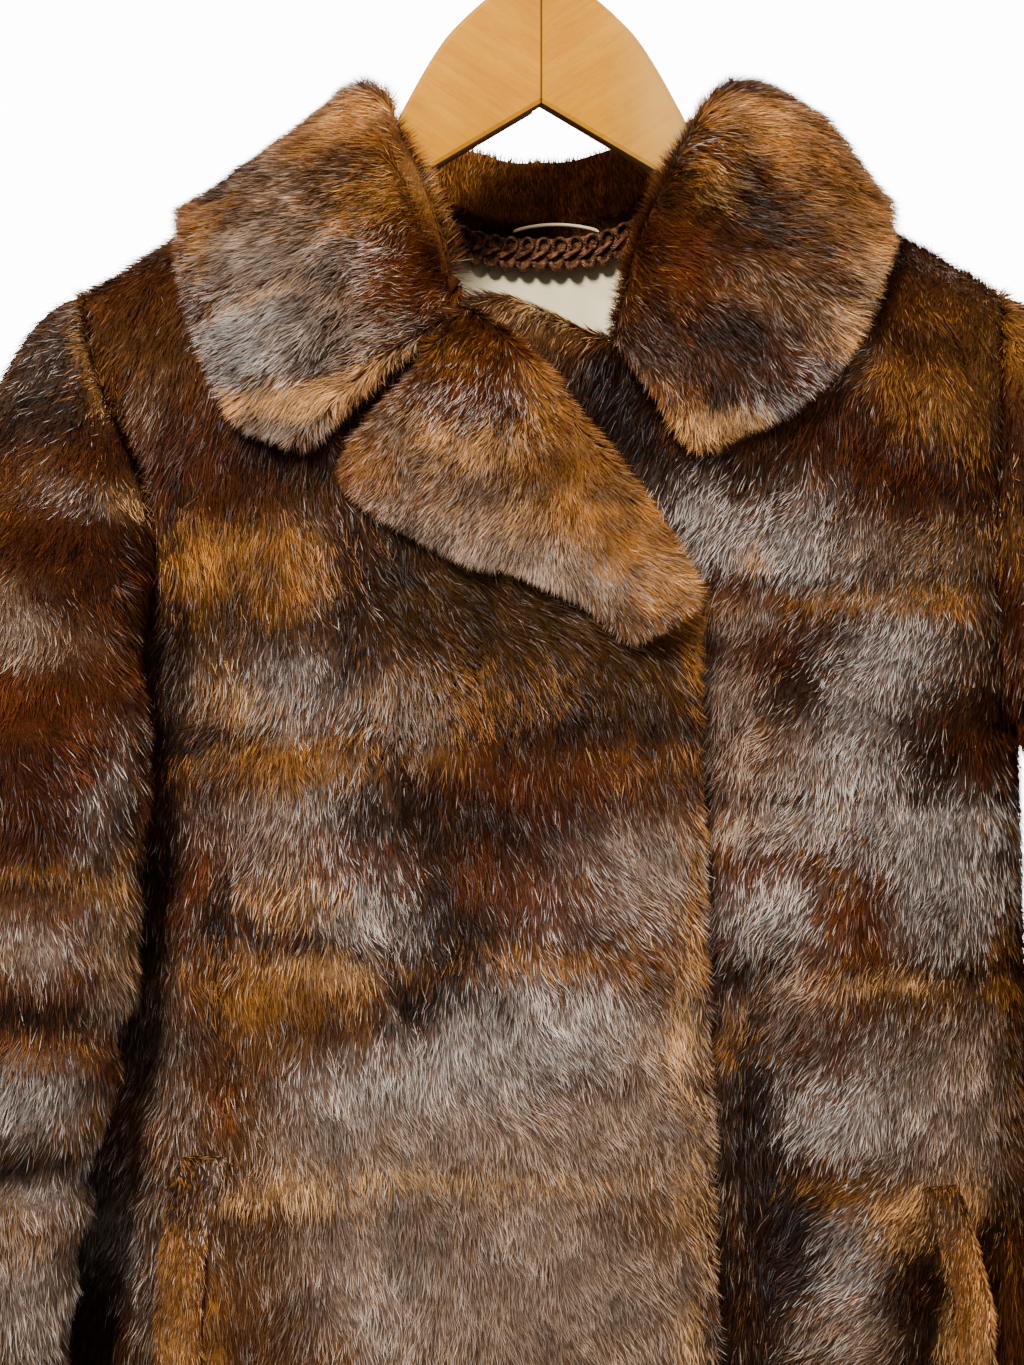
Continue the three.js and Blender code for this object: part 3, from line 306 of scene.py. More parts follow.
SLEEVE_RIGHT_PATCHES = np.array([
    # The dark stripe at (-165, -375) is painted shade in the gap between the sleeve and the body.
    (-165, -375, 4, 64, 0, D, 1.1), (-220, -242, 14, 18, 0, D, 1.2), (-220, -242, 13, 17, 0, S, 1),
    (-220, -273, 18, 21, 0, D, 1.6), (-220, -272, 17, 21, 0, S, 0.6), (-200, -244, 6, 22, 20, P, 1.7),
    (-201, -243, 8, 22, 20, G, 1.2), (-186, -290, 11, 17, 0, D, 1.2), (-185, -289, 11, 17, 0, R, 0.7),
    (-220, -298, 18, 8, 0, R, 1.1), (-221, -299, 17, 8, 0, G, 0.6), (-206, -311, 21, 8, -15, S, 1.1),
    (-176, -314, 13, 8, -20, P, 1.6), (-185, -346, 26, 18, 0, D, 2), (-186, -345, 26, 18, 0, R, 0.9),
    (-216, -333, 21, 12, 0, R, 1.4), (-224, -367, 13, 12, 0, Y, 1.2), (-224, -366, 13, 12, 0, S, 0.4),
    (-211, -380, 18, 8, 0, Y, 0.8), (-177, -389, 13, 17, 0, R, 1.2), (-177, -388, 13, 17, 0, O, 0.6),
    (-216, -401, 22, 17, 0, R, 1.9), (-168, -418, 9, 21, 0, B, 1.2), (-169, -418, 9, 21, 0, R, 0.9),
    (-177, -426, 6, 30, -18, S, 2), (-206, -436, 27, 21, 0, D, 1.5), (-207, -435, 26, 21, 0, R, 1.4),
    (-206, -474, 27, 3, -12, G, 0.8), (-216, -487, 21, 6, 0, R, 1), (-185, -478, 13, 4, -10, G, 1),
    (-220, -500, 21, 12, 0, Y, 1.4), (-220, -499, 21, 12, 0, S, 0.7), (-176, -508, 12, 26, 0, P, 0.9),
    (-177, -507, 13, 26, 0, Y, 1.4), (-194, -513, 12, 12, 0, R, 1), (-220, -533, 27, 7, 0, D, 2.6),
    (-185, -534, 13, 9, 0, Y, 1), (-207, -547, 27, 7, 0, G, 1), (-206, -546, 26, 8, 0, R, 0.7),
    (-193, -555, 17, 10, 0, R, 1), (-216, -564, 22, 11, 0, S, 1.6), (-193, -577, 13, 8, 0, G, 0.7),
    (-220, -593, 18, 5, 0, D, 2.4), (-206, -607, 22, 10, 0, S, 1.6), (-215, -628, 22, 17, 0, Y, 1.7),
    (-214, -627, 21, 17, 0, G, 0.4), (-211, -662, 22, 18, 0, S, 1.5), (-211, -662, 21, 17, 0, Y, 1.2),
    (-233, -721, 39, 26, 0, R, 1), (-233, -751, 39, 17, 0, Y, 1),
])
SLEEVE_LEFT_PATCHES = np.array([
    (209, -329, 11, 19, 0, G, 1), (210, -357, 11, 13, 0, R, 1.4), (204, -222, 22, 27, 0, G, 1.3),
    (209, -267, 18, 22, 0, R, 1.4), (222, -302, 18, 18, 0, D, 1), (227, -401, 18, 36, 0, R, 1.4),
    (240, -338, 18, 27, 0, S, 0.9), (240, -454, 22, 27, 0, Y, 1.2), (231, -513, 27, 18, 0, D, 1.2),
    (231, -580, 27, 31, 0, S, 1.1), (231, -647, 27, 27, 0, R, 1.2), (222, -714, 27, 27, 0, Y, 1.2),
])


# ------------------------------------------------------------------ noise and curves
def smooth(value):
    value = np.clip(value, 0, 1)
    return value * value * (3 - 2 * value)


def signed_power(value, power):
    return np.sign(value) * np.abs(value) ** power


def hashed(cell, seed):
    """An even random number from -1 to 1 for each whole-numbered cell."""
    mixed = (cell[..., 0] * 73856093) ^ (cell[..., 1] * 19349663) ^ (cell[..., 2] * 83492791)
    mixed = (mixed ^ (seed * 7919 + 104729)) & 0x7FFFFFFF
    mixed = ((mixed ^ (mixed >> 15)) * 0x2C1B3C6D) & 0x7FFFFFFF
    mixed = ((mixed ^ (mixed >> 12)) * 0x297A2D39) & 0x7FFFFFFF
    return ((mixed >> 7) & 0xFFFF) / 32767.5 - 1


def noise(points, size, seed):
    """Smooth noise from -1 to 1, with lumps of about the given size."""
    scaled = points / size
    cell = np.floor(scaled).astype(np.int64)
    part = scaled - cell
    part = part * part * (3 - 2 * part)
    total = np.zeros(points.shape[:-1])
    for corner in range(8):
        step = np.array([corner & 1, corner >> 1 & 1, corner >> 2 & 1])
        share = np.prod(np.where(step == 1, part, 1 - part), axis=-1)
        total += share * hashed(cell + step, seed)
    return total


def unit(vectors):
    return vectors / np.maximum(np.linalg.norm(vectors, axis=-1, keepdims=True), 1e-9)


def curve_points(controls, steps):
    """Points on a smooth curve through the controls, which run down the first axis."""
    line = np.concatenate([
        2 * controls[:1] - controls[1:2], controls, 2 * controls[-1:] - controls[-2:-1],
    ])
    place = np.linspace(0, len(controls) - 1, steps + 1)
    at = np.minimum(place.astype(int), len(controls) - 2)
    part = (place - at).reshape((-1,) + (1,) * (controls.ndim - 1))
    before, start, end, after = (line[at + step] for step in range(4))

    def gap(low, high):
        return np.maximum(np.sum((high - low) ** 2, axis=-1, keepdims=True) ** 0.25, 1e-4)

    first, middle, last = gap(before, start), gap(start, end), gap(end, after)
    leave = (start - before) / first - (end - before) / (first + middle) + (end - start) / middle
    arrive = (end - start) / middle - (after - start) / (middle + last) + (after - end) / last
    leave, arrive = leave * middle, arrive * middle
    return (
        start + leave * part
        + (3 * (end - start) - 2 * leave - arrive) * part ** 2
        + (2 * (start - end) + leave + arrive) * part ** 3
    )


def grid_normals(grid, outward):
    """Normals of a grid of points, turned so that they agree with `outward`, on the whole."""
    down = np.gradient(grid, axis=0)
    across = np.gradient(grid, axis=1)
    normals = unit(np.cross(across, down))
    return -normals if np.sum(normals * outward) < 0 else normals


# ------------------------------------------------------------------ the body's surface
FORWARD = np.array((0, -1.0, 0))
HIDE = 6.0  # tanned skin with its dense underfur
SEAM = 0.3  # gap between neighbouring panels
# Columns, rows of the yoke and rows below it
FRONT_GRID, BACK_GRID, LINING_GRID = (46, 10, 116), (64, 8, 88), (110, 24, 54)
SLEEVE_GRID = (64, 20, 44)  # columns, rows of the head and rows of the arm
COLLAR_GRID, REVERS_GRID, POCKET_GRID = (120, 26), (64, 22), (40, 6)  # along and across
BRAID_GRID = (72, 6)


def shoulder_line(x):
    return -79.9 - 0.6 * np.hypot(x, 40)


def ring(z, column):
    return np.interp(z, BODY[:, 0], BODY[:, column])


def arm_limit(side, z, margin=0.0):
    """How far out the body reaches on a side: to the armhole seam, or to the side seam below it."""
    seam = np.interp(z, ARMHOLE[side][:, 0], ARMHOLE[side][:, 1]) - margin
    return np.where(z > UNDERARM_Z - margin, seam, ring(z, 1))


def angle_at(x, z):
    share = np.clip(x / ring(z, 1), -1, 1)
    return np.arccos(signed_power(share, SQUARENESS / 2))


def bare_body(panel, angle, z):
    """A point of the body without its folds: the angle runs from the left side (0) to the right (pi)."""
    back = panel == "back"
    x = ring(z, 1) * signed_power(np.cos(angle), 2 / SQUARENESS)
    drop = np.clip((shoulder_line(x) - z) / YOKE_DROP["back" if back else "front"], 0, 1)
    lap = 11 * smooth((x + 150) / 72) if panel == "front_right" else 0
    depth = ring(z, 3 if back else 2) + lap
    y = depth * signed_power(np.sin(angle), 2 / SQUARENESS) * np.sqrt(1 - (1 - drop) ** 2)
    return np.stack(np.broadcast_arrays(x, y if back else -y, z), axis=-1)


def fold_height(panel, x, z):
    height = 0.0
    for across, drift, begin, fade, width, rise in FOLDS[panel]:
        middle = across + drift * (begin - z)
        height = height + rise * smooth((begin - z) / fade) * np.exp(-(((x - middle) / width) ** 2))
    return height


def oval(x, z, across, height, long, short, turn):
    """1 in the middle of a turned oval patch, falling softly to 0 outside it."""
    turn = np.radians(turn)
    along = (x - across) * np.cos(turn) + (z - height) * np.sin(turn)
    away = -(x - across) * np.sin(turn) + (z - height) * np.cos(turn)
    return np.exp(-((along / long) ** 2) - (away / short) ** 2)


def creased(height, creases, x, z, share=1.0):
    """Heights with creases and swells added from a table like CREASES."""
    for across, level, long, short, turn, rise in creases:
        height = height + share * rise * oval(x, z, across, level, long, short, turn)
    return height


def seam_gap(panel, points):
    """Distance in height to the nearest seam between pelts, positive above it."""
    x, z = points[..., 0], points[..., 2]
    wave = 2.2 * noise(points * (1, 0, 0), 26, 5) + 1.2 * noise(points * (1, 0, 0), 9, 6)
    gaps = [z - (height - drop * (np.abs(x) / 200) ** 2 + wave) for height, drop in PELT_SEAMS[panel]]
    gaps = np.stack(gaps)
    nearest = np.argmin(np.abs(gaps), axis=0)
    return np.take_along_axis(gaps, nearest[None], axis=0)[0]


def relief(panel, points):
    """The fur's own unevenness: creases, the rows of pelts and soft lumps."""
    x, z = points[..., 0], points[..., 2]
    height = creased(1.5 * noise(points, 46, 11) + 0.8 * noise(points, 18, 12), CREASES[panel], x, z)
    strength = 0.65 + 0.35 * noise(points, 60, 13)
    gap = seam_gap(panel, points)
    height = height - 2.4 * strength * np.exp(-((gap / 4.5) ** 2)) + 1.1 * np.exp(-(((gap + 12) / 9) ** 2))
    return np.maximum(height, -4.2)


def panel_point(panel, angle, z, lift=0.0, uneven=True):
    """A point of a panel's outer face, moved out along its normal."""
    point = bare_body(panel, angle, z)
    below = np.minimum(z, shoulder_line(point[..., 0]) - 2)
    step = 0.002
    across = bare_body(panel, angle + step, below) - bare_body(panel, angle - step, below)
    down = bare_body(panel, angle, below - 0.2) - bare_body(panel, angle, below)
    normal = unit(np.cross(across, down))
    if panel == "back":
        normal = -normal
    fade = smooth(np.sin(angle) * 2.2)
    rise = lift + fold_height(panel, point[..., 0], z) * fade
    if uneven:
        rise = rise + relief(panel, point) * fade
    return point + normal * np.asarray(rise)[..., None]


def over(panel, x, z, lift=0.0, uneven=False):
    return panel_point(panel, angle_at(x, z), z, lift, uneven)


def over_yoke(x, drop, lift):
    """Points over the yoke, by their drop from the shoulder line, negative over the front."""
    z = shoulder_line(x) - np.abs(drop)
    front = np.where((x < 0)[..., None], over("front_right", x, z, lift), over("front_left", x, z, lift))
    return np.where((drop < 0)[..., None], front, over("back", x, z, lift))


def neck_line(x):
    rise = shoulder_line(HALF_NECK) - NECK_Z
    return NECK_Z + rise * (np.abs(x) / HALF_NECK) ** 2.5


def top_edge(panel, x):
    if panel == "back":
        return np.where(np.abs(x) < HALF_NECK, neck_line(x), shoulder_line(x))
    table = FRONT_TOP[panel]
    outside = x < table[0, 0] if panel == "front_right" else x > table[-1, 0]
    return np.where(outside, shoulder_line(x), np.interp(x, table[:, 0], table[:, 1]))


def panel_angles(panel, share, z, margin=0.0):
    """The angle at a share of a panel's width, from its left limit to its right one."""
    left = angle_at(arm_limit(1, z, margin), z)
    right = angle_at(-arm_limit(-1, z, margin), z)
    if panel != "back":
        edge = angle_at(np.interp(z, FRONT_EDGE[panel][:, 0], FRONT_EDGE[panel][:, 1]), z)
        left, right = (edge, right) if panel == "front_right" else (left, edge)
    return left + (right - left) * share


def panel_places(panel, columns, yoke_rows, skirt_rows, hem=HEM_Z, lower=0.0, margin=0.0, sides=0.0):
    """Angles and heights of a panel's grid, rows running down from its top edge."""
    share = np.linspace(sides, 1 - sides, columns + 1)
    top = np.full(columns + 1, -200.0)
    for _ in range(30):
        angle = panel_angles(panel, share, top, margin)
        top = 0.5 * top + 0.5 * (top_edge(panel, bare_body(panel, angle, top)[..., 0]) - lower)
    drop = YOKE_DROP["back" if panel == "back" else "front"]
    yoke = 1 - np.cos(np.linspace(0, np.pi / 2, yoke_rows + 1))
    start = top - drop
    skirt = np.linspace(0, 1, skirt_rows + 1)[1:, None]
    z = np.concatenate([top - drop * yoke[:, None], start + (hem - start) * skirt])
    return panel_angles(panel, share, z, margin), z


def panel_walls(panel, columns, yoke_rows, skirt_rows):
    """A panel's outer and inner faces. At the side seams they stop short of the next panel."""
    angle, z = panel_places(panel, columns, yoke_rows, skirt_rows)
    walls = panel_point(panel, angle, z), panel_point(panel, angle, z, -HIDE, False)
    for grid in walls:
        if panel == "back":
            grid[..., 1] = np.maximum(grid[..., 1], SEAM / 2)
        else:
            grid[..., 1] = np.minimum(grid[..., 1], -SEAM / 2)
    return walls


# ------------------------------------------------------------------ sleeves, collar, revers
def sleeve_ring(side, turn, z):
    across, deep, half_width, half_depth, lean = (
        np.interp(z, SLEEVE[side][:, 0], SLEEVE[side][:, column]) for column in range(1, 6)
    )
    lean = np.radians(lean)
    along = half_width * np.sin(turn)
    out = -half_depth * np.cos(turn)
    x = side * (across - along * np.cos(lean) - out * np.sin(lean))
    y = deep - along * np.sin(lean) + out * np.cos(lean)
    return np.stack(np.broadcast_arrays(x, y, z), axis=-1)


def tube_normals(grid):
    """Outward normals of rings of points, alike where each ring closes."""
    normals = grid_normals(grid, grid - grid[:, :-1].mean(axis=1, keepdims=True))
    normals[:, 0] = normals[:, -1] = unit(normals[:, 0] + normals[:, -1])
    return normals


def sleeve_grid(side, around, head_rows, arm_rows):
    """A sleeve's outer and inner faces: rings from the armhole seam to the cuff, closed on themselves."""
    turn = np.linspace(0, 2 * np.pi, around + 1)
    middle = (ARMHOLE_TOP_Z + UNDERARM_Z) / 2
    z = middle + (ARMHOLE_TOP_Z - middle) * np.cos(turn)
    x = side * np.interp(z, ARMHOLE[side][:, 0], ARMHOLE[side][:, 1])
    front = "front_right" if side < 0 else "front_left"
    start = np.where((np.sin(turn) > 0)[:, None], over(front, x, z), over("back", x, z))
    quarter = turn / (np.pi / 2)
    low = np.minimum(quarter.astype(int), 3)
    share = smooth(quarter - low)[:, None]
    heading = SLEEVE_HEAD[low] * (1 - share) + SLEEVE_HEAD[low + 1] * share
    heading = heading * (side, -1, 1)
    start = start + unit(heading) * 4 * SEAM
    first, cuff = SLEEVE[side][-1, 0], SLEEVE[side][0, 0]
    end = sleeve_ring(side, turn, first)
    fall = np.zeros_like(start)
    fall[:, 2] = -np.minimum(190, 0.95 * (start[:, 2] - end[:, 2]))
    rows = []
    for part in np.linspace(0, 1, head_rows + 1):
        rows.append(
            start * (2 * part ** 3 - 3 * part ** 2 + 1) + heading * (part ** 3 - 2 * part ** 2 + part)
            + end * (3 * part ** 2 - 2 * part ** 3) + fall * (part ** 3 - part ** 2)
        )
    rows += [sleeve_ring(side, turn, level) for level in np.linspace(first, cuff, arm_rows + 1)[1:]]
    grid = np.stack(rows)
    grid[:, -1] = grid[:, 0]
    normals = tube_normals(grid)
    x, z = np.abs(grid[..., 0]), grid[..., 2]
    rise = 1.4 * noise(grid, 44, 21) + 0.8 * noise(grid, 17, 22)
    for level, tilt, half_width, height in SLEEVE_CREASES[side]:
        away = z - (level + tilt * (x - 270) + 3 * noise(grid, 40, 23))
        rise += height * np.exp(-((away / half_width) ** 2)) * (0.75 + 0.25 * noise(grid, 60, 24))
    gap = seam_gap("sleeve", grid)
    rise += -1.6 * np.exp(-((gap / 4) ** 2)) + np.exp(-(((gap + 10) / 8) ** 2))
    fade = smooth((np.arange(len(grid)) - 1) / 6)[:, None]
    inner = grid - normals * HIDE
    grid = grid + normals * (np.maximum(rise, -4.5) * fade)[..., None]
    grid[:, -1] = grid[:, 0]
    inner[:, -1] = inner[:, 0]
    return grid, inner


def collar_grid(along, across):
    """The collar's fur face: rows along it, each from the neck seam over the roll to the edge."""
    seam_x, seam_drop, crest_x, crest_y, crest_z, edge_x, edge_drop, puff = COLLAR.T
    crest = np.stack([crest_x, crest_y, crest_z], axis=-1)
    seam = over_yoke(seam_x, seam_drop, -3.0)
    edge = over_yoke(edge_x, edge_drop, COLLAR_LIFT)
    outward = unit(edge - over_yoke(edge_x, edge_drop, 0.0))
    fall = crest + (edge - crest) * 0.42 + outward * puff[:, None]
    drop = np.maximum(shoulder_line(fall[:, 0]) - fall[:, 2], 0)
    signed_drop = np.sign(edge_drop) * drop
    laid = np.stack([
        over_yoke(fall[row, :1], signed_drop[row:row + 1], COLLAR_LIFT + puff[row])[0]
        for row in range(len(fall))
    ])
    front = edge_drop < 0
    fall[:, 1] = np.where(front, np.minimum(fall[:, 1], laid[:, 1]), np.maximum(fall[:, 1], laid[:, 1]))
    tracks = curve_points(np.stack([seam, crest, fall, edge], axis=1), along)
    return np.swapaxes(curve_points(np.swapaxes(tracks, 0, 1), across), 0, 1)


def revers_grid(along, across, lift, crown):
    rows = curve_points(REVERS, along)
    share = np.linspace(0, 1, across + 1)
    x = rows[:, :1] + (rows[:, 2:3] - rows[:, :1]) * share
    z = rows[:, 1:2] + (rows[:, 3:4] - rows[:, 1:2]) * share
    return over("front_right", x, z, lift + crown * np.sin(np.pi * (0.15 + 0.7 * share)))


# ------------------------------------------------------------------ meshes
def tidy_mesh(name, points, faces, kinds=None, rounded=True):
    """A mesh from arrays of points, in millimetres, and of faces that all have as many corners."""
    mesh = bpy.data.meshes.new(name)
    mesh.vertices.add(len(points))
    mesh.vertices.foreach_set("co", np.ascontiguousarray(points * MM, np.float32).ravel())
    mesh.loops.add(faces.size)
    mesh.loops.foreach_set("vertex_index", np.ascontiguousarray(faces, np.int32).ravel())
    mesh.polygons.add(len(faces))
    mesh.polygons.foreach_set("loop_start", np.arange(0, faces.size, faces.shape[1], dtype=np.int32))
    if kinds is not None:
        mesh.polygons.foreach_set("material_index", np.ascontiguousarray(kinds, np.int32))
    mesh.polygons.foreach_set("use_smooth", np.full(len(faces), rounded))
    mesh.update(calc_edges=True)
    mesh.validate()
    return mesh


def add_piece(name, mesh, materials):
    piece = bpy.data.objects.new(name, mesh)
    for material in materials:
        mesh.materials.append(material)
    bpy.context.scene.collection.objects.link(piece)
    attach(piece, "root")
    return piece


def wall_faces(rows, columns, closed):
    """Faces of a wall between two grids of points, with 1 for those of its inner face."""
    half = rows * columns
    across = columns if closed else columns - 1
    row, column = np.meshgrid(np.arange(rows - 1), np.arange(across), indexing="ij")
    beside = (column + 1) % columns
    a, b = row * columns + column, row * columns + beside
    c, d = b + columns, a + columns
    outer = np.stack([a, b, c, d], axis=-1).reshape(-1, 4)
    inner = np.stack([a, d, c, b], axis=-1).reshape(-1, 4) + half
    top_a, top_b = a[0], b[0]
    foot_a, foot_b = d[-1], c[-1]
    rims = [
        np.stack([top_b, top_a, top_a + half, top_b + half], axis=-1),
        np.stack([foot_a, foot_b, foot_b + half, foot_a + half], axis=-1),
    ]
    if not closed:
        first, last = a[:, 0], b[:, -1]
        rims.append(np.stack([first, first + columns, first + columns + half, first + half], axis=-1))
        rims.append(np.stack([last + columns, last, last + half, last + columns + half], axis=-1))
    faces = np.concatenate([outer, inner, *rims])
    kinds = np.zeros(len(faces), int)
    kinds[len(outer):len(outer) + len(inner)] = 1
    return faces, kinds


def volume_of(points, faces):
    a, b, c, d = (points[faces[:, corner]] for corner in range(4))
    return np.sum(np.cross(a, b) * c) / 6 + np.sum(np.cross(a, c) * d) / 6


def wall_mesh(name, outer, inner, closed=False):
    if closed:
        outer, inner = outer[:, :-1], inner[:, :-1]
    rows, columns = outer.shape[:2]
    points = np.concatenate([outer.reshape(-1, 3), inner.reshape(-1, 3)])
    faces, kinds = wall_faces(rows, columns, closed)
    if volume_of(points, faces) < 0:
        faces = faces[:, ::-1]
    return tidy_mesh(name, points, faces, kinds)


def tube(path, radius, sides):
    """Points and faces of a round cord along a path, its ends drawn in and shut."""
    along = unit(np.gradient(path, axis=0))
    side = unit(np.cross(along, (0.0, 1.0, 0.0)))
    rise = np.cross(side, along)
    turn = np.linspace(0, 2 * np.pi, sides, endpoint=False)
    radii = np.full(len(path), radius)
    radii[[0, -1]] = radius * 0.35
    rim = np.cos(turn)[None, :, None] * side[:, None] + np.sin(turn)[None, :, None] * rise[:, None]
    points = (path[:, None] + rim * radii[:, None, None]).reshape(-1, 3)
    row, column = np.meshgrid(np.arange(len(path) - 1), np.arange(sides), indexing="ij")
    beside = (column + 1) % sides
    faces = np.stack([
        row * sides + column, row * sides + beside, (row + 1) * sides + beside, (row + 1) * sides + column,
    ], axis=-1).reshape(-1, 4)
    last = (len(path) - 1) * sides
    caps = []
    for step in range(1, sides - 2, 2):
        caps.append([0, step, step + 1, step + 2])
        caps.append([last, last + step + 2, last + step + 1, last + step])
    return points, np.concatenate([faces, np.array(caps, int)])


def joined(parts):
    """Joins a list of (points, faces) whose faces start from 0."""
    points, faces, start = [], [], 0
    for some_points, some_faces in parts:
        points.append(some_points)
        faces.append(some_faces + start)
        start += len(some_points)
    return np.concatenate(points), np.concatenate(faces)


# ------------------------------------------------------------------ growing the fur
def tone_weights(points, patches, panel):
    """How much of each tone grows at each point."""
    shift = np.stack([noise(points, 28, seed) for seed in (41, 42, 43)], axis=-1) * 9
    shift = shift + np.stack([noise(points, 11, seed) for seed in (44, 45, 46)], axis=-1) * 5
    weights = np.zeros((len(points), TONES))
    for across, level, long, short, turn, tone, amount in patches:
        warped = points + shift * min(1.0, short / 15)
        # The silver painted sheen is laid on more weakly than the other tones.
        amount = amount * (0.6 if tone == SILVER_SHEEN else 1)
        x, z = warped[..., 0], warped[..., 2]
        weights[:, int(tone)] += amount * oval(x, z, across, level, long * 1.1, short * 1.1, turn)
    covered = 1 - np.exp(-1.6 * weights.sum(axis=1))
    loose = 1 - 0.8 * covered
    # Loose lumps of tone, the silver painted sheen among them, grow where the patches leave room.
    for tone, size, seed, amount in (
        (DARK, 52, 51, 1.2), (RED, 60, 52, 1.3), (GINGER, 44, 53, 0.8), (SILVER_SHEEN, 70, 54, 0.8),
        (FROSTED, 48, 55, 1.2), (OLIVE, 50, 56, 0.8),
    ):
        weights[:, tone] += loose * amount * np.clip(noise(points, size, seed) + 0.05, 0, 1)
    weights[:, BROWN] += 0.3 * loose + 0.28
    weights[:, RED] += 0.2
    if panel:
        gap = seam_gap(panel, points)
        strength = np.clip(0.5 + 0.9 * noise(points, 40, 57), 0, 1)
        weights[:, DARK] += 0.8 * strength * np.exp(-(((gap - 2.5) / 3.4) ** 2))
        weights[:, GINGER] += 0.4 * strength * np.exp(-(((gap + 8) / 5) ** 2))
    return weights


def darker_behind(weights, points, dark_tones):
    """Weights that change to a mix of dark tones behind the neck, where a mix is given."""
    if dark_tones is None:
        return weights
    behind = smooth((points[:, 1] - 15) / 25)[:, None]
    dark = np.zeros(TONES)
    dark[[DARK, RED, BROWN, GINGER]] = dark_tones
    return weights * (1 - 0.9 * behind) + dark * behind * 1.5


def pick_tones(weights, rng):
    chance = np.cumsum(weights ** SHARPNESS, axis=1)
    return (rng.random(len(weights))[:, None] * chance[:, -1:] > chance).sum(axis=1)


class Face:
    """A grid of points with its normals and the way its hair lies."""

    def __init__(self, grid, normals, flow):
        self.grid = grid
        self.normals = normals
        self.nap = unit(flow - normals * np.sum(flow * normals, axis=-1, keepdims=True))

    def border(self, edge):
        """One border's points, normals and nap, and the way out over it."""
        pick = {"left": np.s_[:, 0], "right": np.s_[:, -1], "top": np.s_[0], "foot": np.s_[-1]}[edge]
        inner = {"left": np.s_[:, 1], "right": np.s_[:, -2], "top": np.s_[1], "foot": np.s_[-2]}[edge]
        out = unit(self.grid[pick] - self.grid[inner])
        return self.grid[pick], self.normals[pick], self.nap[pick], out


def scatter(face, count, rng, density=None):
    """Random roots on a face, with their normals, nap and density."""
    grid = face.grid
    across = grid[:-1, 1:] - grid[:-1, :-1]
    down = grid[1:, :-1] - grid[:-1, :-1]
    area = np.linalg.norm(np.cross(across, down), axis=-1)
    if density is None:
        density = np.ones(grid.shape[:2])
    chance = np.cumsum((area * density[:-1, :-1]).ravel())
    cell = np.minimum(np.searchsorted(chance, rng.random(count) * chance[-1]), len(chance) - 1)
    row, column = np.divmod(cell, grid.shape[1] - 1)
    u, v = rng.random((2, count))
    share = [((1 - v) * (1 - u)), ((1 - v) * u), (v * u), (v * (1 - u))]
    spots = [(row, column), (row, column + 1), (row + 1, column + 1), (row + 1, column)]

    def mix(values):
        return sum(part[:, None] * values[spot] for part, spot in zip(share, spots))

    return mix(grid), unit(mix(face.normals)), unit(mix(face.nap)), density[row, column]


def along_border(border, count, rng, depth, spread, lean):
    """Random roots round the rim of an edge, with their normals and nap."""
    line, normals, nap, out = border
    length = np.concatenate([[0], np.cumsum(np.linalg.norm(np.diff(line, axis=0), axis=1))])
    place = rng.random(count) * length[-1]

    def mix(values):
        return np.stack([np.interp(place, length, values[:, axis]) for axis in range(3)], axis=-1)

    normal, way, outward = unit(mix(normals)), mix(nap), unit(mix(out))
    turn = rng.uniform(*spread, count)[:, None]
    rim = normal * np.cos(turn) + outward * np.sin(turn)
    root = mix(line) - normal * (depth / 2) + rim * (depth / 2)
    way = way + outward * lean
    return root, rim, unit(way - rim * np.sum(way * rim, axis=-1, keepdims=True))


# How much longer, more upright, broader and wilder hair is than usual: times, radians, times, times
USUAL = (1, 0, 1, 1)


def hairs(root, normal, nap, rng, style, density=None):
    """Left, right and tip corners of one pointed hair for each root."""
    longer, upright, broader, wild = style
    sizes = bpy.context.scene.coat_sizes
    length, width = sizes.hair_length / MM * longer, sizes.hair_width / MM * broader
    count = len(root)
    side = np.cross(normal, nap)
    turn = 0.32 * noise(root, 36, 31) + 0.4 * noise(root, 12, 32) + 0.3 * noise(root, 5, 35)
    turn = wild * (turn + 0.17 * rng.normal(size=count))
    way = nap * np.cos(turn)[:, None] + side * np.sin(turn)[:, None]
    stand = sizes.hair_rise + upright + 0.16 * noise(root, 8, 33) + 0.11 * rng.normal(size=count)
    stand = np.clip(stand, 0.03, 1.3)[:, None]
    way = unit(way * np.cos(stand) + normal * np.sin(stand))
    long = (length * (0.72 + 0.2 * noise(root, 14, 34) + 0.42 * rng.random(count)))[:, None]
    broad = width * (0.7 + 0.6 * rng.random(count))
    if density is not None:
        broad = broad * np.clip(density, 0.2, 1) ** -0.5
    flat = unit(np.cross(way, normal))
    roll = rng.uniform(-0.8, 0.8, count)[:, None]
    flat = flat * np.cos(roll) + np.cross(way, flat) * np.sin(roll)
    start = root - normal * 0.7
    left = start - flat * broad[:, None] / 2
    right = start + flat * broad[:, None] / 2
    tip = root + way * long
    turned = np.sum(np.cross(right - left, tip - left) * normal, axis=-1) < 0
    left[turned], right[turned] = right[turned], left[turned].copy()
    return np.stack([left, right, tip], axis=1)


# Where a hair lies on its map: half its width, and its root and tip within the row of its tone
HALF_SHADE, ROOT_ROW, TIP_ROW = 0.0022, 0.006, 0.119


def fur_piece(name, blades, tones, shades, material):
    """One mesh of all the hairs of a piece. A hair's place on its map says its shade and tone."""
    count = len(blades)
    mesh = tidy_mesh(name, blades.reshape(-1, 3), np.arange(count * 3).reshape(-1, 3), rounded=False)
    across = np.clip(shades, 0.01, 0.99)
    root_row, tip_row = tones / TONES + ROOT_ROW, tones / TONES + TIP_ROW
    corners = ((across - HALF_SHADE, root_row), (across + HALF_SHADE, root_row), (across, tip_row))
    uv = np.stack([np.stack(corner, axis=-1) for corner in corners], axis=1)
    layer = mesh.uv_layers.new(name="OFBake")
    layer.uv.foreach_set("vector", np.ascontiguousarray(uv, np.float32).ravel())
    return add_piece(name, mesh, [material])


